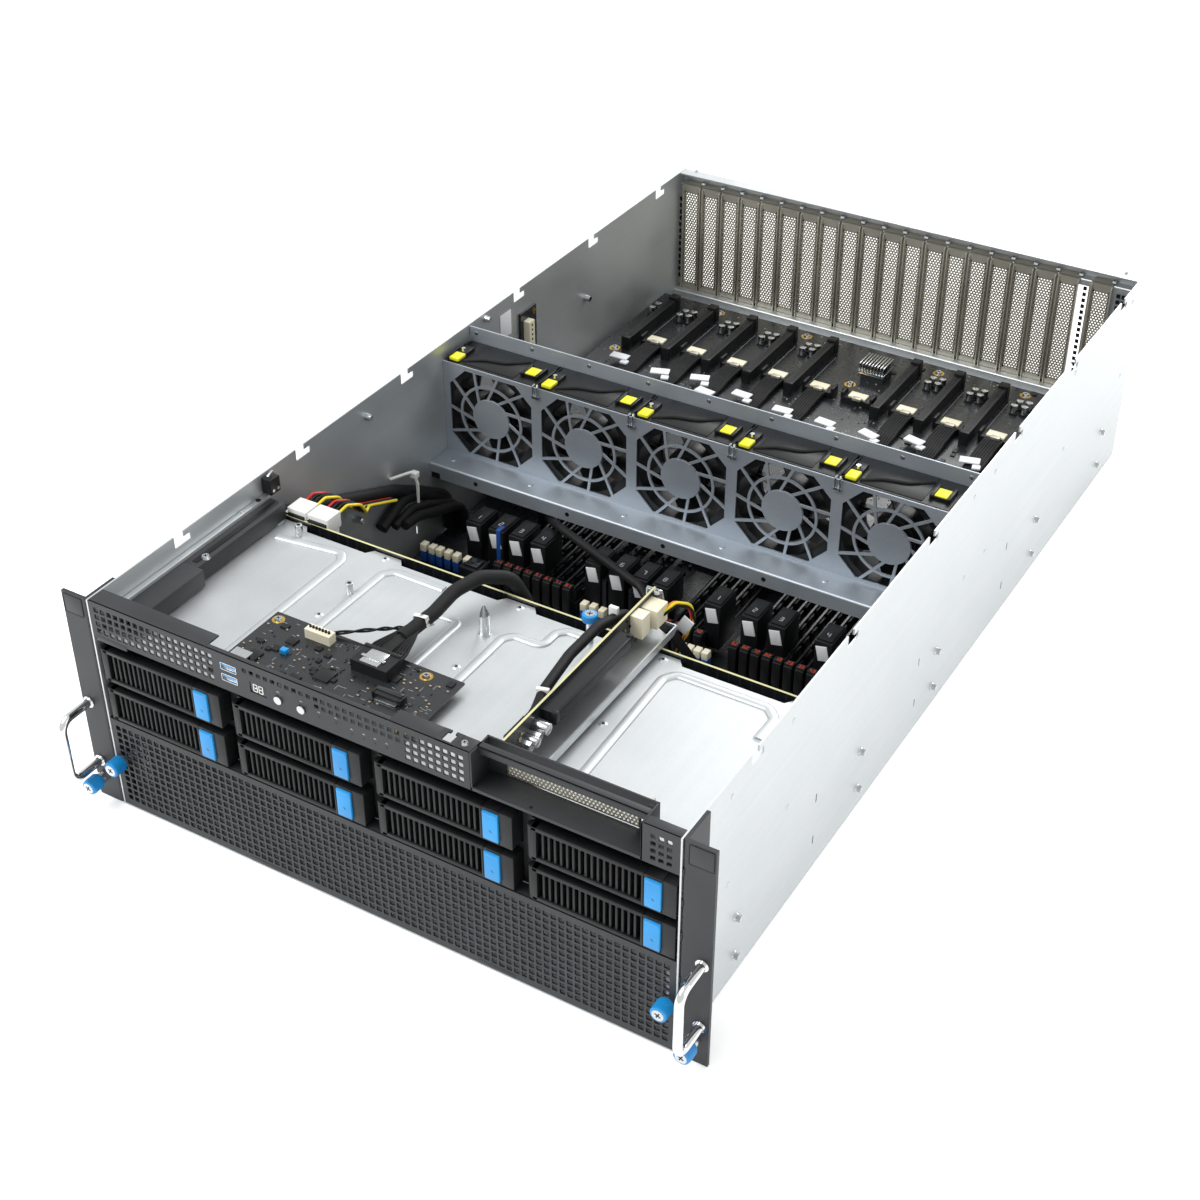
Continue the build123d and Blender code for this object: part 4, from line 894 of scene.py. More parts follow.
def io_details():
    top = 149.2
    paint("io_board", [
        ("zinc", -110, -96, 1, 18, 149.3, 170), ("plastic", -88, -73, 1, 10, 149.3, 165),
        ("plastic", -69, -42, 3, 14, 149.3, 162), ("beige", -97, -75, 65, 74, 149.3, 158),
        ("plastic", -51, -21, 53, 73, 149.3, 159), ("plastic", -21, -1, 37, 46, 149.3, 155),
    ])
    rng = random.Random(7)
    shape = Shape()
    blocked = ((-111, -95, 0, 18), (-98, -74, 64, 75), (-52, -20, 52, 74), (-22, 0, 36, 47), (-128, -118, 66, 78), (-10, 1, 66, 78))
    chips(shape, rng, -126, 17, 18, 77, top, 170, blocked)
    marks(shape, rng, -126, 17, 14, 77, top, 120, blocked)
    for x, y, w, l in ((-60, 40, 12, 12), (-112, 34, 9, 9), (-75, 28, 8, 6), (-20, 60, 7, 7), (8, 30, 8, 5), (-100, 58, 7, 7)):
        shape.box(x - w / 2, x + w / 2, y - l / 2, y + l / 2, top - 0.05, top + 1.3, "plastic", 0.15)
        for k in range(int(w)):
            for s in (-1, 1):
                shape.box(x - w / 2 + k + 0.3, x - w / 2 + k + 0.6, y + s * l / 2 - 0.1 - 0.4, y + s * l / 2 + 0.5, top, top + 0.25, "zinc")
    for x, y in ((-123.0, 72.5), (-4.5, 72.4), (13.0, 20.0)):
        shape.rod((x, y, top - 0.02), (x, y, top + 0.06), 4.4, "gold", 32)
        shape.pan_screw((x, y, top + 0.06), (0, 0, 1), 3.0, "zinc", "plastic")
    # Connector shrouds and the plug's bright clip
    shape.box(-95.4, -76.6, 66.6, 72.4, top + 6.9, top + 7.3, "beige", 0.3)
    for k in range(7):
        shape.rod((-93.4 + 2.5 * k, 69.5, top + 7.0), (-93.4 + 2.5 * k, 69.5, top + 9.0), 0.9, "plastic", 8)
    shape.box(-44, -30, 55.5, 70.0, top + 8.5, top + 8.9, "zinc", 0.15)
    shape.box(-46, -28, 60.0, 62.5, top + 8.8, top + 9.6, "zinc", 0.3)
    shape.box(-51, -23, 70.0, 73.0, top + 1, top + 9.2, "fan_black", 0.4)
    shape.box(-20.2, -1.8, 41.5, 45.4, top + 4.4, top + 5.2, "glass", 0.3)
    shape.box(-19.0, -3.0, 36.4, 38.2, top + 0.2, top + 1.0, "zinc", 0.1)
    for side in (-1, 1):
        shape.box(-11 + side * 10.2 - 0.8, -11 + side * 10.2 + 0.8, 38.0, 45.6, top, top + 4.8, "plastic", 0.3)
    shape.box(-99.4, -94.6, 44.0, 48.0, top, top + 3.4, "blue", 0.3)
    shape.make("board_components", "chassis")
    # Flat fan of thin leads from the plug into the round sleeve, thin twisted lead, tag and tie
    shape = Shape()
    for k in range(12):
        x = -49.5 + 2.3 * k
        end_x = -36.6 + (k - 5.5) * 0.5
        points = [(x, 72.5, 153.4), (x, 79, 154.2), (x * 0.6 - 13.5, 93, 155.6), (end_x, 108, 156.2), (end_x + 2.2, 122, 157)]
        shape.tube(rounded(points, [10, 14, 14], 3), 0.95, "sleeve", 7)
    sleeve = [(-37, 92, 154.6), (-34.5, 112, 156.4), (-33, 122, 157), (-33, 146, 160), (-27, 168, 160.4), (-13, 184.6, 155), (-5, 189.6, 136), (-5, 189.6, 112.4)]
    shape.tube(rounded(sleeve, [30, 40, 40, 22, 14, 10]), 4.9, "sleeve", 18)
    for k in range(3):
        y = 110 + 1.2 * k
        shape.tube([(-40.8, y, 153.5), (-40.2, y, 160.2), (-30.6, y, 161.4), (-29.8, y, 153.8)], 0.55, "white", 6)
    for phase in (0, math.pi):
        points = []
        for k in range(40):
            t = k / 39
            bx, by, bz = -86 + 42 * t + 10 * math.sin(t * 3.1), 74 + 34 * t, 150.4 + 5 * math.sin(t * math.pi)
            points.append((bx + 0.9 * math.cos(14 * t + phase), by, bz + 0.9 * math.sin(14 * t + phase)))
        shape.tube(points, 0.75, "sleeve", 7)
    shape.box(-45.5, -30.5, 113.5, 122.0, 151.2, 151.6, "label", 0.05, Matrix.Rotation(-0.5, 3, "Z"))
    # Riser lead, wall bundle
    lead = [(83.6, 52, 163.2), (83.6, 62, 163.2), (78.2, 82, 166.2), (73.2, 119, 166.2), (73.2, 154, 166.2), (77, 189.6, 158.2), (77, 189.6, 112.4)]
    shape.tube(rounded(lead, [30, 30, 40, 40, 16]), 3.7, "sleeve", 16)
    shape.box(75.0, 83.5, 76.5, 79.5, 161.8, 170.2, "white", 0.4, Matrix.Rotation(0.25, 3, "Z"))
    shape.box(70.5, 77.0, 171.5, 174.5, 161.0, 170.4, "white", 0.4)
    wall = -213.65
    bundle = [(-204, 188.3, 138), (wall, 188.3, 138), (wall, 320, 84), (wall, 352, 66), (wall, 392, 40), (wall, 392, 10)]
    shape.tube(rounded(bundle, [8, 40, 40, 20]), 5.0, "sleeve", 16)
    shape.tube(rounded([(-218, 322, 92), (-205, 336, 96), (-203, 338, 84), (-206, 341, 62)], [3, 3], 5), 1.3, "white", 8)
    shape.box(-207.5, -201.5, 334, 339.5, 90.5, 95.5, "white", 0.6)
    for offset, r in ((0.0, 5.2), (7.5, 3.6), (13.0, 4.2)):
        points = [(wall + 1 + offset, 300 + offset, 60), (wall + 1 + offset, 330, 72 - offset), (wall + 1 + offset, 352, 64 - offset), (wall + 1 + offset, 392, 36), (wall + 1 + offset, 396, 10)]
        shape.tube(rounded(points, [20, 25, 20], 5), r, "sleeve", 12)
    for base, x0 in ((-194.0, -202.0), (-174.5, -184.0)):
        shape.box(x0 + 0.5, base + 8.8, 180.9, 196.4, 138.0, 150.6, "white", 0.5)
        shape.box(x0 + 1.5, base + 7.8, 179.6, 182.0, 128.0, 147.0, "plastic", 0.3)
        for k, mat in enumerate(("red_wire", "sleeve", "sleeve", "yellow_wire")):
            x = base - 5.4 + 3.6 * k
            end = -209 + 1.8 * k
            points = [(x, 196.0, 146), (x + 2, 206, 149.5), (x + 6, 216, 146), (x - 2, 232, 128), ((x + end) / 2, 250, 112), (end, 276, 98), (end, 310, 84)]
            shape.tube(rounded(points, [5, 9, 16, 20, 20], 4), 1.15, mat, 8)
    shape.make("leads_ties_and_tags", "chassis", (), 60)
    paint("drive_backplane", [
        ("edge", -220, 220, 178.9, 180.7, 144.45, 144.6), ("white", -206, -166, 180.7, 198, 127, 147),
        ("plastic", -14, 90, 180.7, 198, 97, 113), ("plastic", -220, 220, 168, 178.9, 80, 140),
    ])


def riser_details():
    paint("card_riser", [
        ("plastic", 88.85, 101, 59, 153, 161, 172), ("beige", 88.85, 102, 167, 197, 155, 173),
        ("zinc", 88.85, 97.5, 33, 52.5, 155, 166), ("plastic", 81, 87.19, 29, 53, 156, 170),
        ("edge", 87.1, 88.9, 20, 203, 173.5, 173.7),
    ])
    rng = random.Random(11)
    shape = Shape()
    for _ in range(90):
        y, z = rng.uniform(24, 200), rng.uniform(149, 172)
        if 57 < y < 156 and z > 160:
            continue
        w, h = rng.choice(((1.6, 0.9), (0.9, 1.6), (2.6, 1.8)))
        shape.box(88.7, 89.5, y - w / 2, y + w / 2, z - h / 2, z + h / 2, rng.choice(("plastic", "beige_part", "zinc")))
        shape.box(86.5, 87.3, y - h, y + h, z - w / 2, z + w / 2, rng.choice(("plastic", "beige_part")))
    for y, z, r in ((52.8, 164, 4.0), (61.2, 164, 3.2)):
        if y < 60:
            shape.rod((88.6, y, z), (99.6, y, z), r, "zinc", 24, r, 0.4)
    shape.rod((88.6, 43.0, 160), (98.2, 43.0, 160), 3.4, "zinc", 24, 3.4, 0.4)
    shape.box(98.6, 100.3, 60.4, 152.4, 162.4, 170.6, "plastic", 0.3)
    shape.box(96.5, 100.4, 60.0, 63.5, 162.0, 171.2, "plastic", 0.4)
    shape.box(96.5, 100.4, 149.5, 152.8, 162.0, 171.2, "plastic", 0.4)
    shape.box(82.6, 87.2, 199.0, 200.6, 160.0, 172.6, "zinc", 0.3)
    shape.box(82.6, 94.0, 199.6, 201.2, 166.0, 173.4, "zinc", 0.4)
    shape.pan_screw((91.5, 197.8, 173.0), (0, 0, 1), 2.7, "zinc", "plastic")
    for y in (198.0,):
        shape.box(98.0, 106.0, y, y + 1.2, 146.6, 151.4, "galvanised", 0.3)
    for mat, dx, dz in (("orange_wire", 0.0, 0.0), ("yellow_wire", 1.9, 0.4), ("red_wire", 0.6, -2.0), ("sleeve", 2.4, -1.8)):
        points = [(98 + dx, 191, 164 + dz), (103 + dx, 200, 168 + dz), (110 + dx, 207, 165 + dz), (112 + dx, 209, 152 + dz), (108 + dx, 206, 138), (103, 200, 120)]
        shape.tube(rounded(points, [5, 6, 8, 12], 4), 1.0, mat, 7)
    for k in range(5):
        points = [(100 - k, 186 + k, 156), (106, 192 + k, 146 + k), (114 + k, 205 + k, 118), (112 + 3 * k, 240, 74 + 3 * k), (96 + 3 * k, 276, 46), (92 + 3 * k, 288, 36)]
        shape.tube(rounded(points, [6, 14, 24, 18], 4), 0.9, "sleeve", 7)
    shape.box(105.5, 114.0, 203.0, 204.0, 143.0, 156.0, "label", 0.05, Matrix.Rotation(0.5, 3, "Y"))
    shape.box(86.9, 87.3, 100, 122, 151.5, 157, "label", 0.02)
    shape.make("riser_components", "chassis")


# Mainboard well

def seven_up(shape, x, y, z, w, h, text, mat):
    """Seven-segment digits lying on a top face, read from the front."""
    lit = {"0": "abcdef", "1": "bc", "2": "abged", "3": "abgcd", "4": "fgbc", "5": "afgcd", "6": "afgedc", "7": "abc", "8": "abcdefg"}
    t = h * 0.16
    for k, digit in enumerate(text):
        cx = x + (k - (len(text) - 1) / 2) * w * 1.7
        places = {
            "a": (cx, y + h / 2, w, t), "g": (cx, y, w, t), "d": (cx, y - h / 2, w, t),
            "f": (cx - w / 2, y + h / 4, t, h / 2), "b": (cx + w / 2, y + h / 4, t, h / 2),
            "e": (cx - w / 2, y - h / 4, t, h / 2), "c": (cx + w / 2, y - h / 4, t, h / 2),
        }
        for name in lit[digit]:
            sx, sy, sw, sh = places[name]
            shape.box(sx - sw / 2, sx + sw / 2, sy - sh / 2, sy + sh / 2, z, z + 0.12, mat)


def well_details():
    rng = random.Random(5)
    shape = Shape()
    top = 9.6
    banks = [(-124.4 + 9.1 * i) for i in range(8)] + [27.0 + 9.1 * i for i in range(4)] + [84.0 + 9.1 * i for i in range(8)]
    for n, x in enumerate(banks):
        shape.box(x - 3.5, x + 3.5, 328.5, 337.5, 18.0, 39.0, "plastic", 0.6)
        shape.box(x - 3.9, x + 3.9, 330.2, 335.0, 36.5, 40.6, "fan_black", 0.7)
        seven_up(shape, x, 332.6, 40.55, 1.5, 3.0, f"{n % 8 + 1}{n // 8 + 1}", "red")
        shape.box(x - 3.3, x + 3.3, 337.0, 470.0, 18.4, 20.5, "plastic", 0.3)
        shape.box(x - 0.8, x + 0.8, 337.0, 470.0, 20.0, 33.0, "board")
        for y in range(344, 466, 14):
            shape.box(x - 1.9, x + 1.9, y, y + 10, 22.0, 30.0, "plastic", 0.2)
    for i, x in enumerate((-155, -134, -115, -95, -45, -24, -4, 14, 59, 90, 112, 150)):
        shape.box(x - 7, x + 7, 343, 369, 20, 60.0, "plastic", 0.8)
        shape.box(x - 6, x + 6, 345, 367, 59.9, 61.4, "fan_black", 0.6)
        turn = Matrix.Rotation(-0.22, 3, "Y")
        shape.box(x - 4.4, x + 4.4, 342.3, 343.1, 44.0, 56.5, "label", 0.05, turn)
        seven_up(shape, x, 352, 61.4, 2.2, 4.4, str(i % 8 + 1), "grey_print")
    for x, y in [(-190, 325), (-182, 325), (-175, 325), (-167, 325), (-159, 325), (-149, 325), (-38.6, 321), (-31, 321.6), (-22.4, 320.5), (50.5, 313), (57, 313.4), (63.5, 314), (70, 314.4)]:
        shape.box(x - 2.6, x + 2.6, y - 3.2, y + 3.2, 33.5, 40.0, "beige", 0.4)
        shape.box(x - 2.6, x + 2.6, y - 3.2, y + 3.2, 24.0, 33.6, "blue_dark", 0.3)
        shape.box(x - 2.4, x + 2.4, y - 3.0, y + 3.0, top, 24.2, "plastic")
    shape.box(-150, -132, 314, 331, top, 38, "plastic", 0.5)
    shape.box(-147, -135, 317, 328, 38, 40.0, "glass", 0.3)
    shape.box(-133, -129, 342, 350, top, 62, "blue_dark", 0.6)
    for x in range(-44, 16, 8):
        for y in range(350, 424, 9):
            shape.rod((x, y, 44), (x, y, 47.6), 1.4, "fan_black", 8)
    for x0, x1 in ((-56, -50), (18, 24)):
        shape.box(x0, x1, 350, 420, top, 14, "zinc", 0.3)
    for x, y in ((-94, 401.9), (102.7, 398), (-46, 340), (12, 340), (156, 340), (200, 340), (-190, 300), (-100, 240), (100, 240)):
        z = 30.0 if y > 380 else 13.0
        shape.rod((x, y, top), (x, y, z), 3.4, "plastic", 20)
        shape.pan_screw((x, y, z), (0, 0, 1), 3.2, "zinc", "plastic")
    chips(shape, rng, -205, 205, 205, 328, top, 320)
    marks(shape, rng, -205, 205, 205, 328, top, 220)
    for _ in range(46):
        x, y = rng.uniform(-200, 200), rng.uniform(232, 322)
        r = rng.choice((2.2, 2.9, 3.6))
        shape.rod((x, y, top), (x, y, top + 9), r, "fan_black", 16)
        shape.rod((x, y, top + 8.9), (x, y, top + 9.2), r * 0.85, "zinc", 16)
    for x, y, w, l, h in ((-60, 262, 26, 26, 12), (70, 258, 34, 30, 16), (150, 272, 22, 30, 11), (-150, 262, 30, 22, 9)):
        shape.box(x - w / 2, x + w / 2, y - l / 2, y + l / 2, top, top + h * 0.4, "plastic", 0.4)
        for k in range(int(w / 3)):
            fx = x - w / 2 + 3 * k + 0.6
            shape.box(fx, fx + 1.1, y - l / 2, y + l / 2, top + h * 0.4, top + h, "fan_black")
    shape.box(-205, -188, 236, 300, top, 26, "plastic", 0.8)
    cross = [(-140, 420, 12), (-140, 420, 50), (-105, 380, 59), (-89, 366, 66), (5, 329, 66), (28, 316, 52), (28, 312, 12)]
    shape.tube(rounded(cross, [14, 30, 30, 14, 8]), 3.4, "sleeve", 14)
    shape.make("well_components", "chassis")


# Fan cage

FAN_XS = (-174.0, -88.0, -2.0, 84.0, 170.0)
FAN_Z = 119.3


def rotor_looks(number, x):
    """Hub with seven twisted, swept blades."""
    shape = Shape()
    mesh = shape.mesh
    shape.rod((x, 407.2, FAN_Z), (x, 433.8, FAN_Z), 18.3, "fan_black", 48, 18.3, 1.2)
    shape.rod((x, 407.0, FAN_Z), (x, 407.3, FAN_Z), 11.0, "label", 40)
    faces = []
    for b in range(7):
        sheets = []
        for offset in (-0.55, 0.55):
            grid = []
            for i in range(6):
                r = 17.6 + (37.0 - 17.6) * i / 5
                stagger = math.radians(62 - 26 * i / 5)
                sweep = math.radians(14) * (i / 5) ** 1.5
                line = []
                for j in range(7):
                    t = (j / 6 - 0.5) * 25.0
                    camber = 2.2 * (1 - (2 * j / 6 - 1) ** 2)
                    along = t / 2 * math.cos(stagger) * 1.35 + camber
                    y = 420.5 + t * math.sin(stagger) * 0.98 + offset
                    a = 2 * math.pi * b / 7 + sweep + (along + offset * 0.6) / r
                    line.append(mesh.verts.new((x + r * math.cos(a), max(407.3, min(433.6, y)), FAN_Z + r * math.sin(a))))
                grid.append(line)
            sheets.append(grid)
            for i in range(5):
                for j in range(6):
                    faces.append(mesh.faces.new((grid[i][j], grid[i + 1][j], grid[i + 1][j + 1], grid[i][j + 1])))
        one, two = sheets
        for j in range(6):
            faces.append(mesh.faces.new((one[5][j], one[5][j + 1], two[5][j + 1], two[5][j])))
        for i in range(5):
            faces.append(mesh.faces.new((one[i][0], one[i + 1][0], two[i + 1][0], two[i][0])))
            faces.append(mesh.faces.new((one[i][6], one[i + 1][6], two[i + 1][6], two[i][6])))
    shape.finish_with(faces, "fan_black")
    shape.make(f"fan_{number}_blades", f"rotor_{number}", [f"fan_rotor_{number}"], 35)


def fan_details():
    plate_y = 401.2
    shape = Shape()
    # Rings and hub discs of the fan plate sheet, whose darker colour is painted shade
    for x in FAN_XS:
        annulus(shape, lambda u, v, w: Vector((u, plate_y - 0.06 + w, v)), x, FAN_Z, 26.9, 29.1, 1.3, "fan_plate_painted_shade", 56)
        shape.rod((x, plate_y - 0.35, FAN_Z), (x, plate_y + 1.1, FAN_Z), 16.9, "fan_plate_painted_shade", 56, 17.2)
    # Bent clips between the fans
    for x in [FAN_XS[0] + 43 + 86 * i for i in range(4)]:
        for dx in (-2.0, 2.0):
            shape.tube(rounded([(x + dx, plate_y - 1.2, 152.5), (x + dx, plate_y - 1.4, 162.4), (x + dx * 0.6, plate_y + 0.5, 163.4)], [1.0], 5), 0.75, "zinc", 8)
        shape.box(x - 3.4, x + 3.4, plate_y - 1.9, plate_y, 151.4, 154.4, "zinc", 0.5)
    # Folded ledge: round holes in its lip drawn as black discs of painted shade, rivets, and a welded corner notch
    # drawn as a black block of painted shade
    for x in range(-174, 210, 86):
        shape.rod((x, 375.85, 72.4), (x, 376.3, 72.4), 1.9, "fan_black", 18)
    for x in (-204, -130, -44, 42, 128, 204):
        shape.rod((x, 389.0, 79.0), (x, 389.0, 79.6), 2.6, "fan_plate_painted_shade", 20, 1.9)
    shape.box(-217, -209, 375.7, 377.5, 66.2, 71.0, "fan_black")
    for x in [-212 + 53 * i for i in range(9)]:
        shape.rod((x, 439.76, 168.6), (x, 440.1, 168.6), 1.5, "zinc", 18, 2.0)
    shape.make("fan_wall_details", "chassis")
    for i, x in enumerate(FAN_XS):
        shape = Shape()
        shape.box(x - 39.7, x - 30.8, 414.6, 427.0, 162.0, 163.8, "fan_black", 0.5)
        shape.box(x - 39.7, x - 30.8, 403.5, 414.4, 161.5, 164.2, "yellow", 0.7)
        shape.rod((x - 35.2, 417.6, 163.5), (x - 35.2, 417.6, 166.6), 2.0, "zinc", 24, 1.7)
        shape.box(x - 41.0, x - 39.8, 404.0, 427.0, 161.0, 165.2, "fan_black", 0.4)
        shape.box(x + 25.6, x + 35.4, 412.6, 423.6, 162.0, 164.0, "yellow", 0.6)
        shape.box(x + 22.6, x + 25.4, 410.5, 427.5, 160.9, 164.4, "fan_black", 0.6)
        shape.box(x + 35.6, x + 38.2, 410.5, 427.5, 160.9, 164.4, "fan_black", 0.6)
        shape.box(x - 27.5, x + 20.0, 404.5, 438.5, 160.9, 161.5, "fan_black", 0.3)
        shape.tube(rounded([(x - 29, 407, 161.6), (x - 14, 416, 162.2), (x + 4, 420, 162.2), (x + 19, 432, 161.6)], [20, 20], 5), 1.3, "sleeve", 8)
        for side in (-1, 1):
            shape.box(x + side * 41.6 - 0.7, x + side * 41.6 + 0.7, 404.5, 438.0, 160.9, 161.8, "fan_black", 0.3)
        shape.make(f"fan_{i + 1}_tabs", f"fan_{i + 1}")
        rotor_looks(i + 1, x)


# GPU board

def gpu_details():
    rng = random.Random(21)
    top = 66.0
    rules = []
    shape = Shape()
    places = [-190.6 + 40.64 * n for n in (0, 1, 2, 3, 4, 6, 7, 8)]
    for x in places:
        rules.append(("plastic", x - 4, x + 4, 640, 740, top + 0.3, top + 13))
        rules.append(("plastic", x + 9.5, x + 34.5, 654, 668, top + 0.3, top + 7))
        shape.box(x - 4.2, x + 4.2, 642.5, 647.0, top, top + 12.2, "plastic", 0.5)
        shape.box(x - 4.4, x + 4.4, 730.0, 738.5, top, top + 13.4, "fan_black", 0.8)
        # Dark strip along the socket top: painted shade in its card slot
        shape.box(x - 0.7, x + 0.7, 648, 729, top + 10.9, top + 11.3, "fan_black")
        for side in (-1, 1):
            shape.box(x + side * 2.6 - 0.25, x + side * 2.6 + 0.25, 648, 729, top + 11.1, top + 11.4, "coat")
        shape.box(x + 7.4, x + 7.8, 672, 726, top, top + 0.1, "grey_print")
        for y in range(650, 730, 9):
            shape.box(x - 6.4, x - 5.4, y, y + 1.2, top, top + 0.4, "zinc")
    for x in [x + 22 for x in places] + [30.5]:
        shape.box(x - 8, x + 8, 657.5, 666.5, top + 5.6, top + 7.6, "beige", 0.4)
        shape.box(x - 3, x + 5, 654.0, 658.5, top + 5.8, top + 8.2, "nickel", 0.3)
        shape.box(x - 13.2, x + 13.2, 656.0, 669.2, top, top + 5.7, "plastic", 0.4)
        for side in (-1, 1):
            shape.box(x + side * 13.4 - 1.2, x + side * 13.4 + 1.2, 657.0, 668.0, top, top + 9.4, "plastic", 0.4)
    for x in (-199, -170, -126, -85, -44, 76.7, 115.6, 156, 201):
        for dx, dy in ((0, 0), (8.6, 1.5), (1.5, 9.0), (9.6, 10.2)):
            shape.box(x + dx - 7.4, x + dx - 0.6, 710.6 + dy, 717.4 + dy, top, top + 1.2, "plastic", 0.2)
            shape.rod((x + dx - 4, 714 + dy, top + 1), (x + dx - 4, 714 + dy, top + 8.6), 3.2, "zinc", 24, 3.2, 0.5)
            shape.box(x + dx - 6.4, x + dx - 1.6, 716.0 + dy, 716.6 + dy, top + 8.55, top + 8.7, "plastic")
    for k in range(9):
        shape.box(13.2 + 2.8 * k, 14.4 + 2.8 * k, 699.0, 721.0, 74.8, 83.0, "zinc", 0.1)
    shape.box(13.0, 37.0, 698.5, 721.5, 73.0, 75.4, "zinc", 0.2)
    for x, y in ((11, 688), (-60, 748), (70, 746), (-150, 748), (150, 748), (-200, 640), (205, 640), (0, 560), (-200, 500), (200, 500)):
        shape.rod((x, y, top), (x, y, top + 0.12), 5.0, "gold", 28)
        shape.pan_screw((x, y, top + 0.1), (0, 0, 1), 3.4, "zinc", "plastic")
    clear = [(x - 15, x + 37, 640, 740) for x in places] + [(p + 12, p + 32, 555, 660) for p in places]
    chips(shape, rng, -208, 208, 475, 755, top, 620, clear)
    marks(shape, rng, -208, 208, 475, 755, top, 420, clear)
    for x, y, w in ((-100, 530, 16), (60, 520, 20), (150, 540, 14), (-160, 540, 12), (0, 500, 24), (100, 590, 9), (-60, 590, 9)):
        shape.box(x - w / 2, x + w / 2, y - w / 2, y + w / 2, top, top + 2.2, "plastic", 0.3)
    # Flat ribbons' soft surface, their tags
    for n, x in enumerate([x + 22 for x in places]):
        for k in range(7):
            wire = x - 6.9 + 2.3 * k
            shape.tube([(wire, 652, top + 5.6), (wire, 640, top + 5.6), (wire, 630, top + 5.0), (wire, 620, top + 3.4), (wire, 612, top + 3.0), (wire, 561, top + 3.0)], 1.05, "sleeve", 7)
    for x, y in ((-183, 620), (-138.5, 614), (-103, 622), (-88, 603), (-58, 615), (-16, 609), (24, 609), (63.6, 610), (100.6, 620), (152, 614)):
        turn = Matrix.Rotation(rng.uniform(-0.35, 0.35), 3, "Z")
        shape.box(x - 8.5, x + 8.5, y - 4.6, y + 4.6, top + 5.0, top + 6.6, "label", 0.6, turn)
        shape.box(x + 4.5, x + 11.5, y - 9.0, y - 3.0, top + 3.6, top + 5.6, "label", 0.5, turn)
    shape.make("gpu_board_components", "chassis")
    paint("gpu_board", rules)


# Walls and supplies

def wall_details():
    inner = -218.25
    paint("wall_fittings", [
        ("coat", inner - 1, -200, 30, 172, 140, 158.5), ("board", inner - 1, -215, 511, 537, 107, 153),
        ("beige", -216.2, -209, 515, 525, 119, 145), ("zinc", inner - 1, -208, 270, 280, 77, 87),
    ])
    paint("chassis_shell", [("zinc", -226, -219.8, 60, 760, 10, 60), ("zinc", 219.8, 226, 60, 760, 10, 60)])
    shape = Shape()
    shape.box(-218.3, -213.6, 15.5, 177.5, 157.6, 158.6, "galvanised", 0.3)
    shape.box(-214.4, -213.6, 15.5, 177.5, 152.0, 158.4, "galvanised", 0.3)
    shape.box(-213.4, -200.6, 15.5, 178.0, 155.0, 156.2, "coat", 0.4)
    shape.box(-213.4, -195.5, 15.5, 84.0, 155.2, 156.4, "coat", 0.4)
    shape.box(-196.6, -195.5, 15.5, 84.0, 143.0, 156.0, "coat", 0.4)
    shape.box(-201.4, -200.4, 80.0, 178.0, 143.0, 155.8, "coat", 0.4)
    shape.box(-209.0, -204.5, 88.0, 176.0, 156.0, 156.7, "fan_black", 0.3)
    shape.pan_screw((-203.6, 96, 156.3), (0, 0, 1), 3.4, "zinc", "plastic")
    shape.rod((-216, 150, 158.6), (-216, 150, 159.2), 1.9, "zinc", 18, 1.5)
    # Black disc on the channel top: painted shade inside a hole
    shape.rod((-216, 168, 158.6), (-216, 168, 158.8), 2.0, "fan_black", 18)
    shape.box(-218.2, -209.9, 175.8, 186.2, 159.8, 172.2, "plastic", 0.5)
    shape.box(-215.0, -213.0, 178.0, 184.5, 172.0, 175.2, "zinc", 0.3, Matrix.Rotation(0.3, 3, "X"))
    for y in (178.4, 183.6):
        shape.rod((-209.95, y, 163), (-209.6, y, 163), 1.2, "zinc", 14)
    for y, z in ((275.8, 81), (463, 170), (300, 160), (620, 120)):
        shape.rod((-218.5, y, z), (-213.5, y, z), 3.0, "zinc", 24, 2.4)
    shape.rod((-210.5, 275, 82), (-209.8, 275, 82), 2.8, "zinc", 20, 2.2)
    shape.box(-218.3, -217.9, 484, 500, 140, 162, "label", 0.05)
    for k in range(5):
        shape.rod((-210.2, 520, 123 + 4.4 * k), (-209.9, 520, 123 + 4.4 * k), 1.0, "plastic", 8)
    shape.rod((-215.9, 532, 147), (-215.6, 532, 147), 2.8, "gold", 24)
    shape.rod((-215.9, 532, 113), (-215.6, 532, 113), 2.8, "gold", 24)
    # Rivets on the outer walls
    for side in (-1, 1):
        face = side * 219.75
        for y, z in [(y, z) for y in (60, 140, 430, 470, 640, 780) for z in (160, 90)]:
            shape.rod((face - side * 0.1, y, z), (face + side * 0.55, y, z), 2.4, "galvanised", 20, 1.7)
        for y in (74.7, 257.5, 389, 591, 750):
            for z in (17, 50):
                shape.rod((face, y, z), (face + side * 0.7, y, z), 3.4, "zinc", 24, 3.1)
                shape.rod((face + side * 3.2, y, z), (face + side * 3.5, y, z), 2.5, "zinc", 24, 2.2)
    shape.make("wall_details", "chassis")


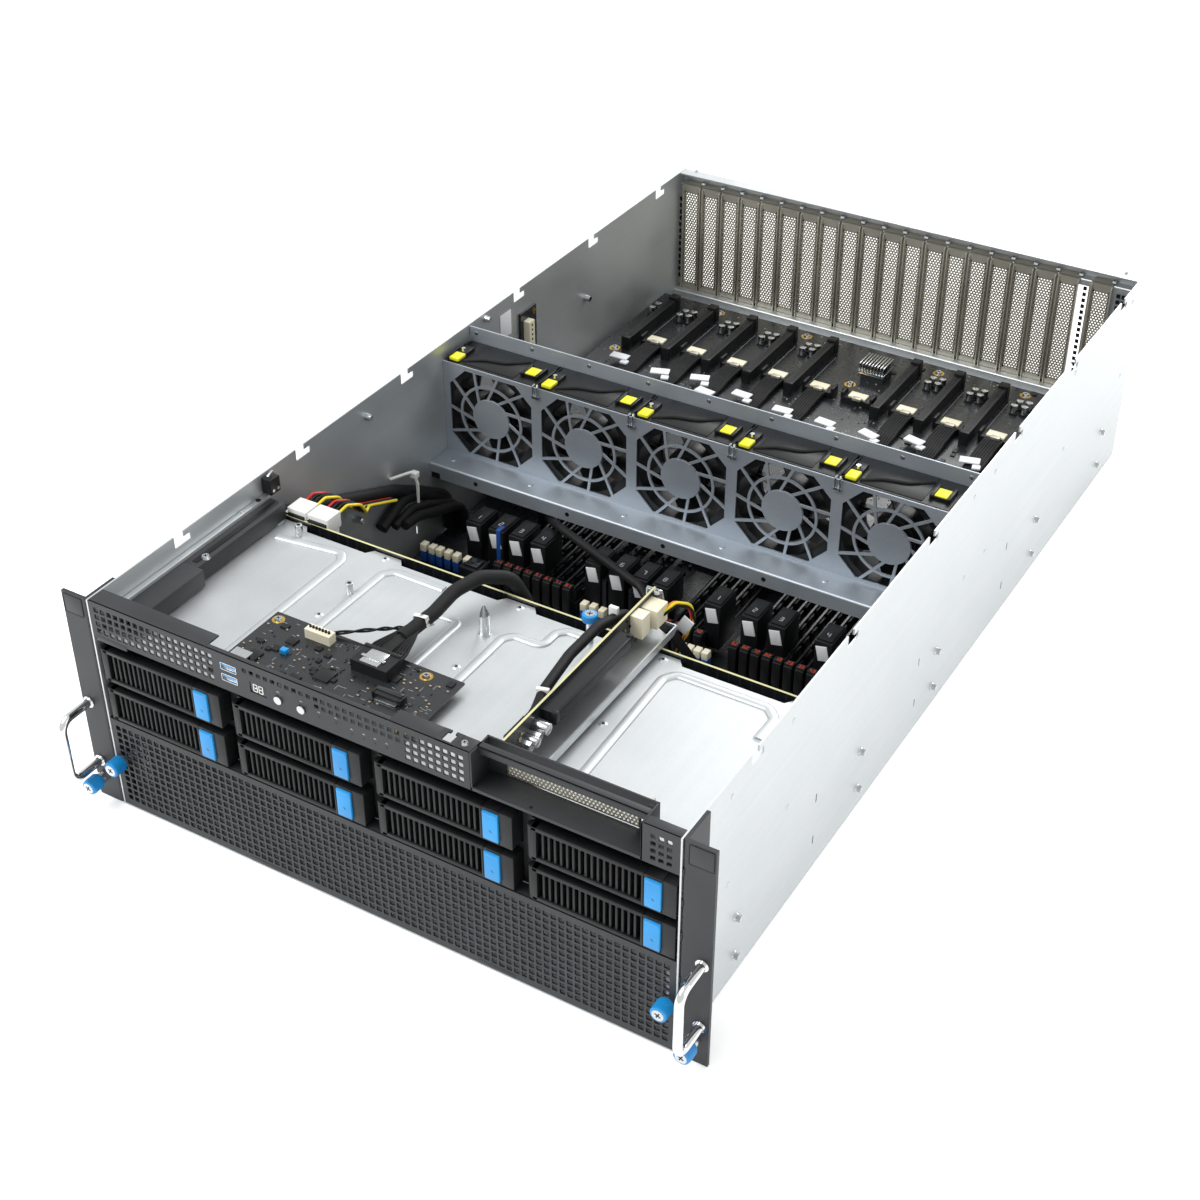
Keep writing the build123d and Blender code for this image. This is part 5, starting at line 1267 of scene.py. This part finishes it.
def supply_details():
    for i in range(4):
        x = -65.35 + 76.2 * i
        paint(f"power_supply_{i + 1}", [("plastic", x + 7, x + 17, 803.55, 822, 0, 45), ("blue", x + 23, x + 33, 803.55, 815, 12, 24)])
        shape = Shape()
        face = lambda u, v, w: Vector((u, 803.55 + w, v))
        plate(shape, face, x - 35.6, x + 35.6, 3.4, 40.6, 0.3, "galvanised")
        shape.rod((x - 15, 803.8, 22), (x - 15, 804.2, 22), 16.6, "fan_black", 56)
        for r in (5.0, 8.6, 12.2, 15.8):
            annulus(shape, lambda u, v, w: Vector((u, 804.2 + w, v)), x - 15, 22, r - 0.5, r + 0.5, 0.9, "zinc", 48)
        for turn in (0.785, 2.356):
            shape.box(x - 31.0, x + 1.0, 804.2, 805.1, 21.5, 22.5, "zinc", 0.2, Matrix.Rotation(turn, 3, "Y"))
        shape.box(x + 17.5, x + 23.5, 803.8, 804.6, 12, 32, "plastic", 0.3)
        shape.rod((x + 28, 803.8, 33.0), (x + 28, 804.5, 33.0), 1.6, "white", 20)
        shape.box(x + 18.0, x + 34.6, 803.8, 805.2, 25.0, 28.6, "plastic", 0.3)
        shape.make(f"supply_{i + 1}_rear_face", f"supply_{i + 1}")


front_strip()
covers()
handles_and_ears()
shelf_details()
io_details()
riser_details()
well_details()
fan_details()
gpu_details()
wall_details()
supply_details()

# Camera and light

def add_camera():
    data = bpy.data.cameras.new("camera")
    data.lens = 57.9
    data.sensor_width = 36.0
    data.clip_start = 0.02
    data.clip_end = 30
    camera = bpy.data.objects.new("camera", data)
    bpy.context.scene.collection.objects.link(camera)
    camera.location = (0.5823, -0.6963, 0.9029)
    camera.rotation_euler = (math.radians(90 - 35.838), math.radians(0.0), math.radians(30.839))
    bpy.context.scene.camera = camera


def area_light(name, place, target, size, power, colour=(1, 1, 1)):
    data = bpy.data.lights.new(name, "AREA")
    data.shape = "RECTANGLE"
    data.size, data.size_y = size
    data.energy = power
    data.color = colour
    lamp = bpy.data.objects.new(name, data)
    bpy.context.scene.collection.objects.link(lamp)
    lamp.location = place
    lamp.rotation_euler = (Vector(target) - Vector(place)).to_track_quat("-Z", "Y").to_euler()


def add_world():
    world = bpy.data.worlds.new("studio")
    world.use_nodes = True
    bpy.context.scene.world = world
    tree = world.node_tree
    tree.nodes.clear()
    out = tree.nodes.new("ShaderNodeOutputWorld")
    soft = tree.nodes.new("ShaderNodeBackground")
    soft.inputs["Color"].default_value = hex_rgb("EAEBEB")
    soft.inputs["Strength"].default_value = 1.0
    white = tree.nodes.new("ShaderNodeBackground")
    white.inputs["Color"].default_value = (1, 1, 1, 1)
    path = tree.nodes.new("ShaderNodeLightPath")
    mix = tree.nodes.new("ShaderNodeMixShader")
    tree.links.new(path.outputs["Is Camera Ray"], mix.inputs["Fac"])
    tree.links.new(soft.outputs["Background"], mix.inputs[1])
    tree.links.new(white.outputs["Background"], mix.inputs[2])
    tree.links.new(mix.outputs["Shader"], out.inputs["Surface"])


def add_floor():
    shape = bmesh.new()
    bmesh.ops.create_grid(shape, x_segments=1, y_segments=1, size=4.0)
    data = bpy.data.meshes.new("studio_floor")
    shape.to_mesh(data)
    shape.free()
    mat, shader, where = start("white_studio_sweep")
    link(mat, ramp(mat, noise(mat, where, 300), [(0.0, "FAFAFA"), (1.0, "FFFFFF")]), shader, "Base Color")
    shader.inputs["Roughness"].default_value = 0.9
    shader.inputs["Emission Color"].default_value = (1, 1, 1, 1)
    shader.inputs["Emission Strength"].default_value = 0.25
    data.materials.append(mat)
    floor = bpy.data.objects.new("studio_floor", data)
    bpy.context.scene.collection.objects.link(floor)
    floor.location = (0, 0.4, -0.0006)


add_camera()
add_world()
add_floor()
area_light("key_softbox", (-1.2, -0.9, 2.4), (0, 0.4, 0), (1.8, 1.8), 60)
area_light("side_softbox", (2.4, 0.3, 1.1), (0.2, 0.4, 0.1), (2.2, 1.6), 6)
area_light("rear_softbox", (0.2, 2.6, 1.8), (0, 0.4, 0.1), (2.2, 1.0), 40)
bpy.context.scene.view_settings.view_transform = "Standard"
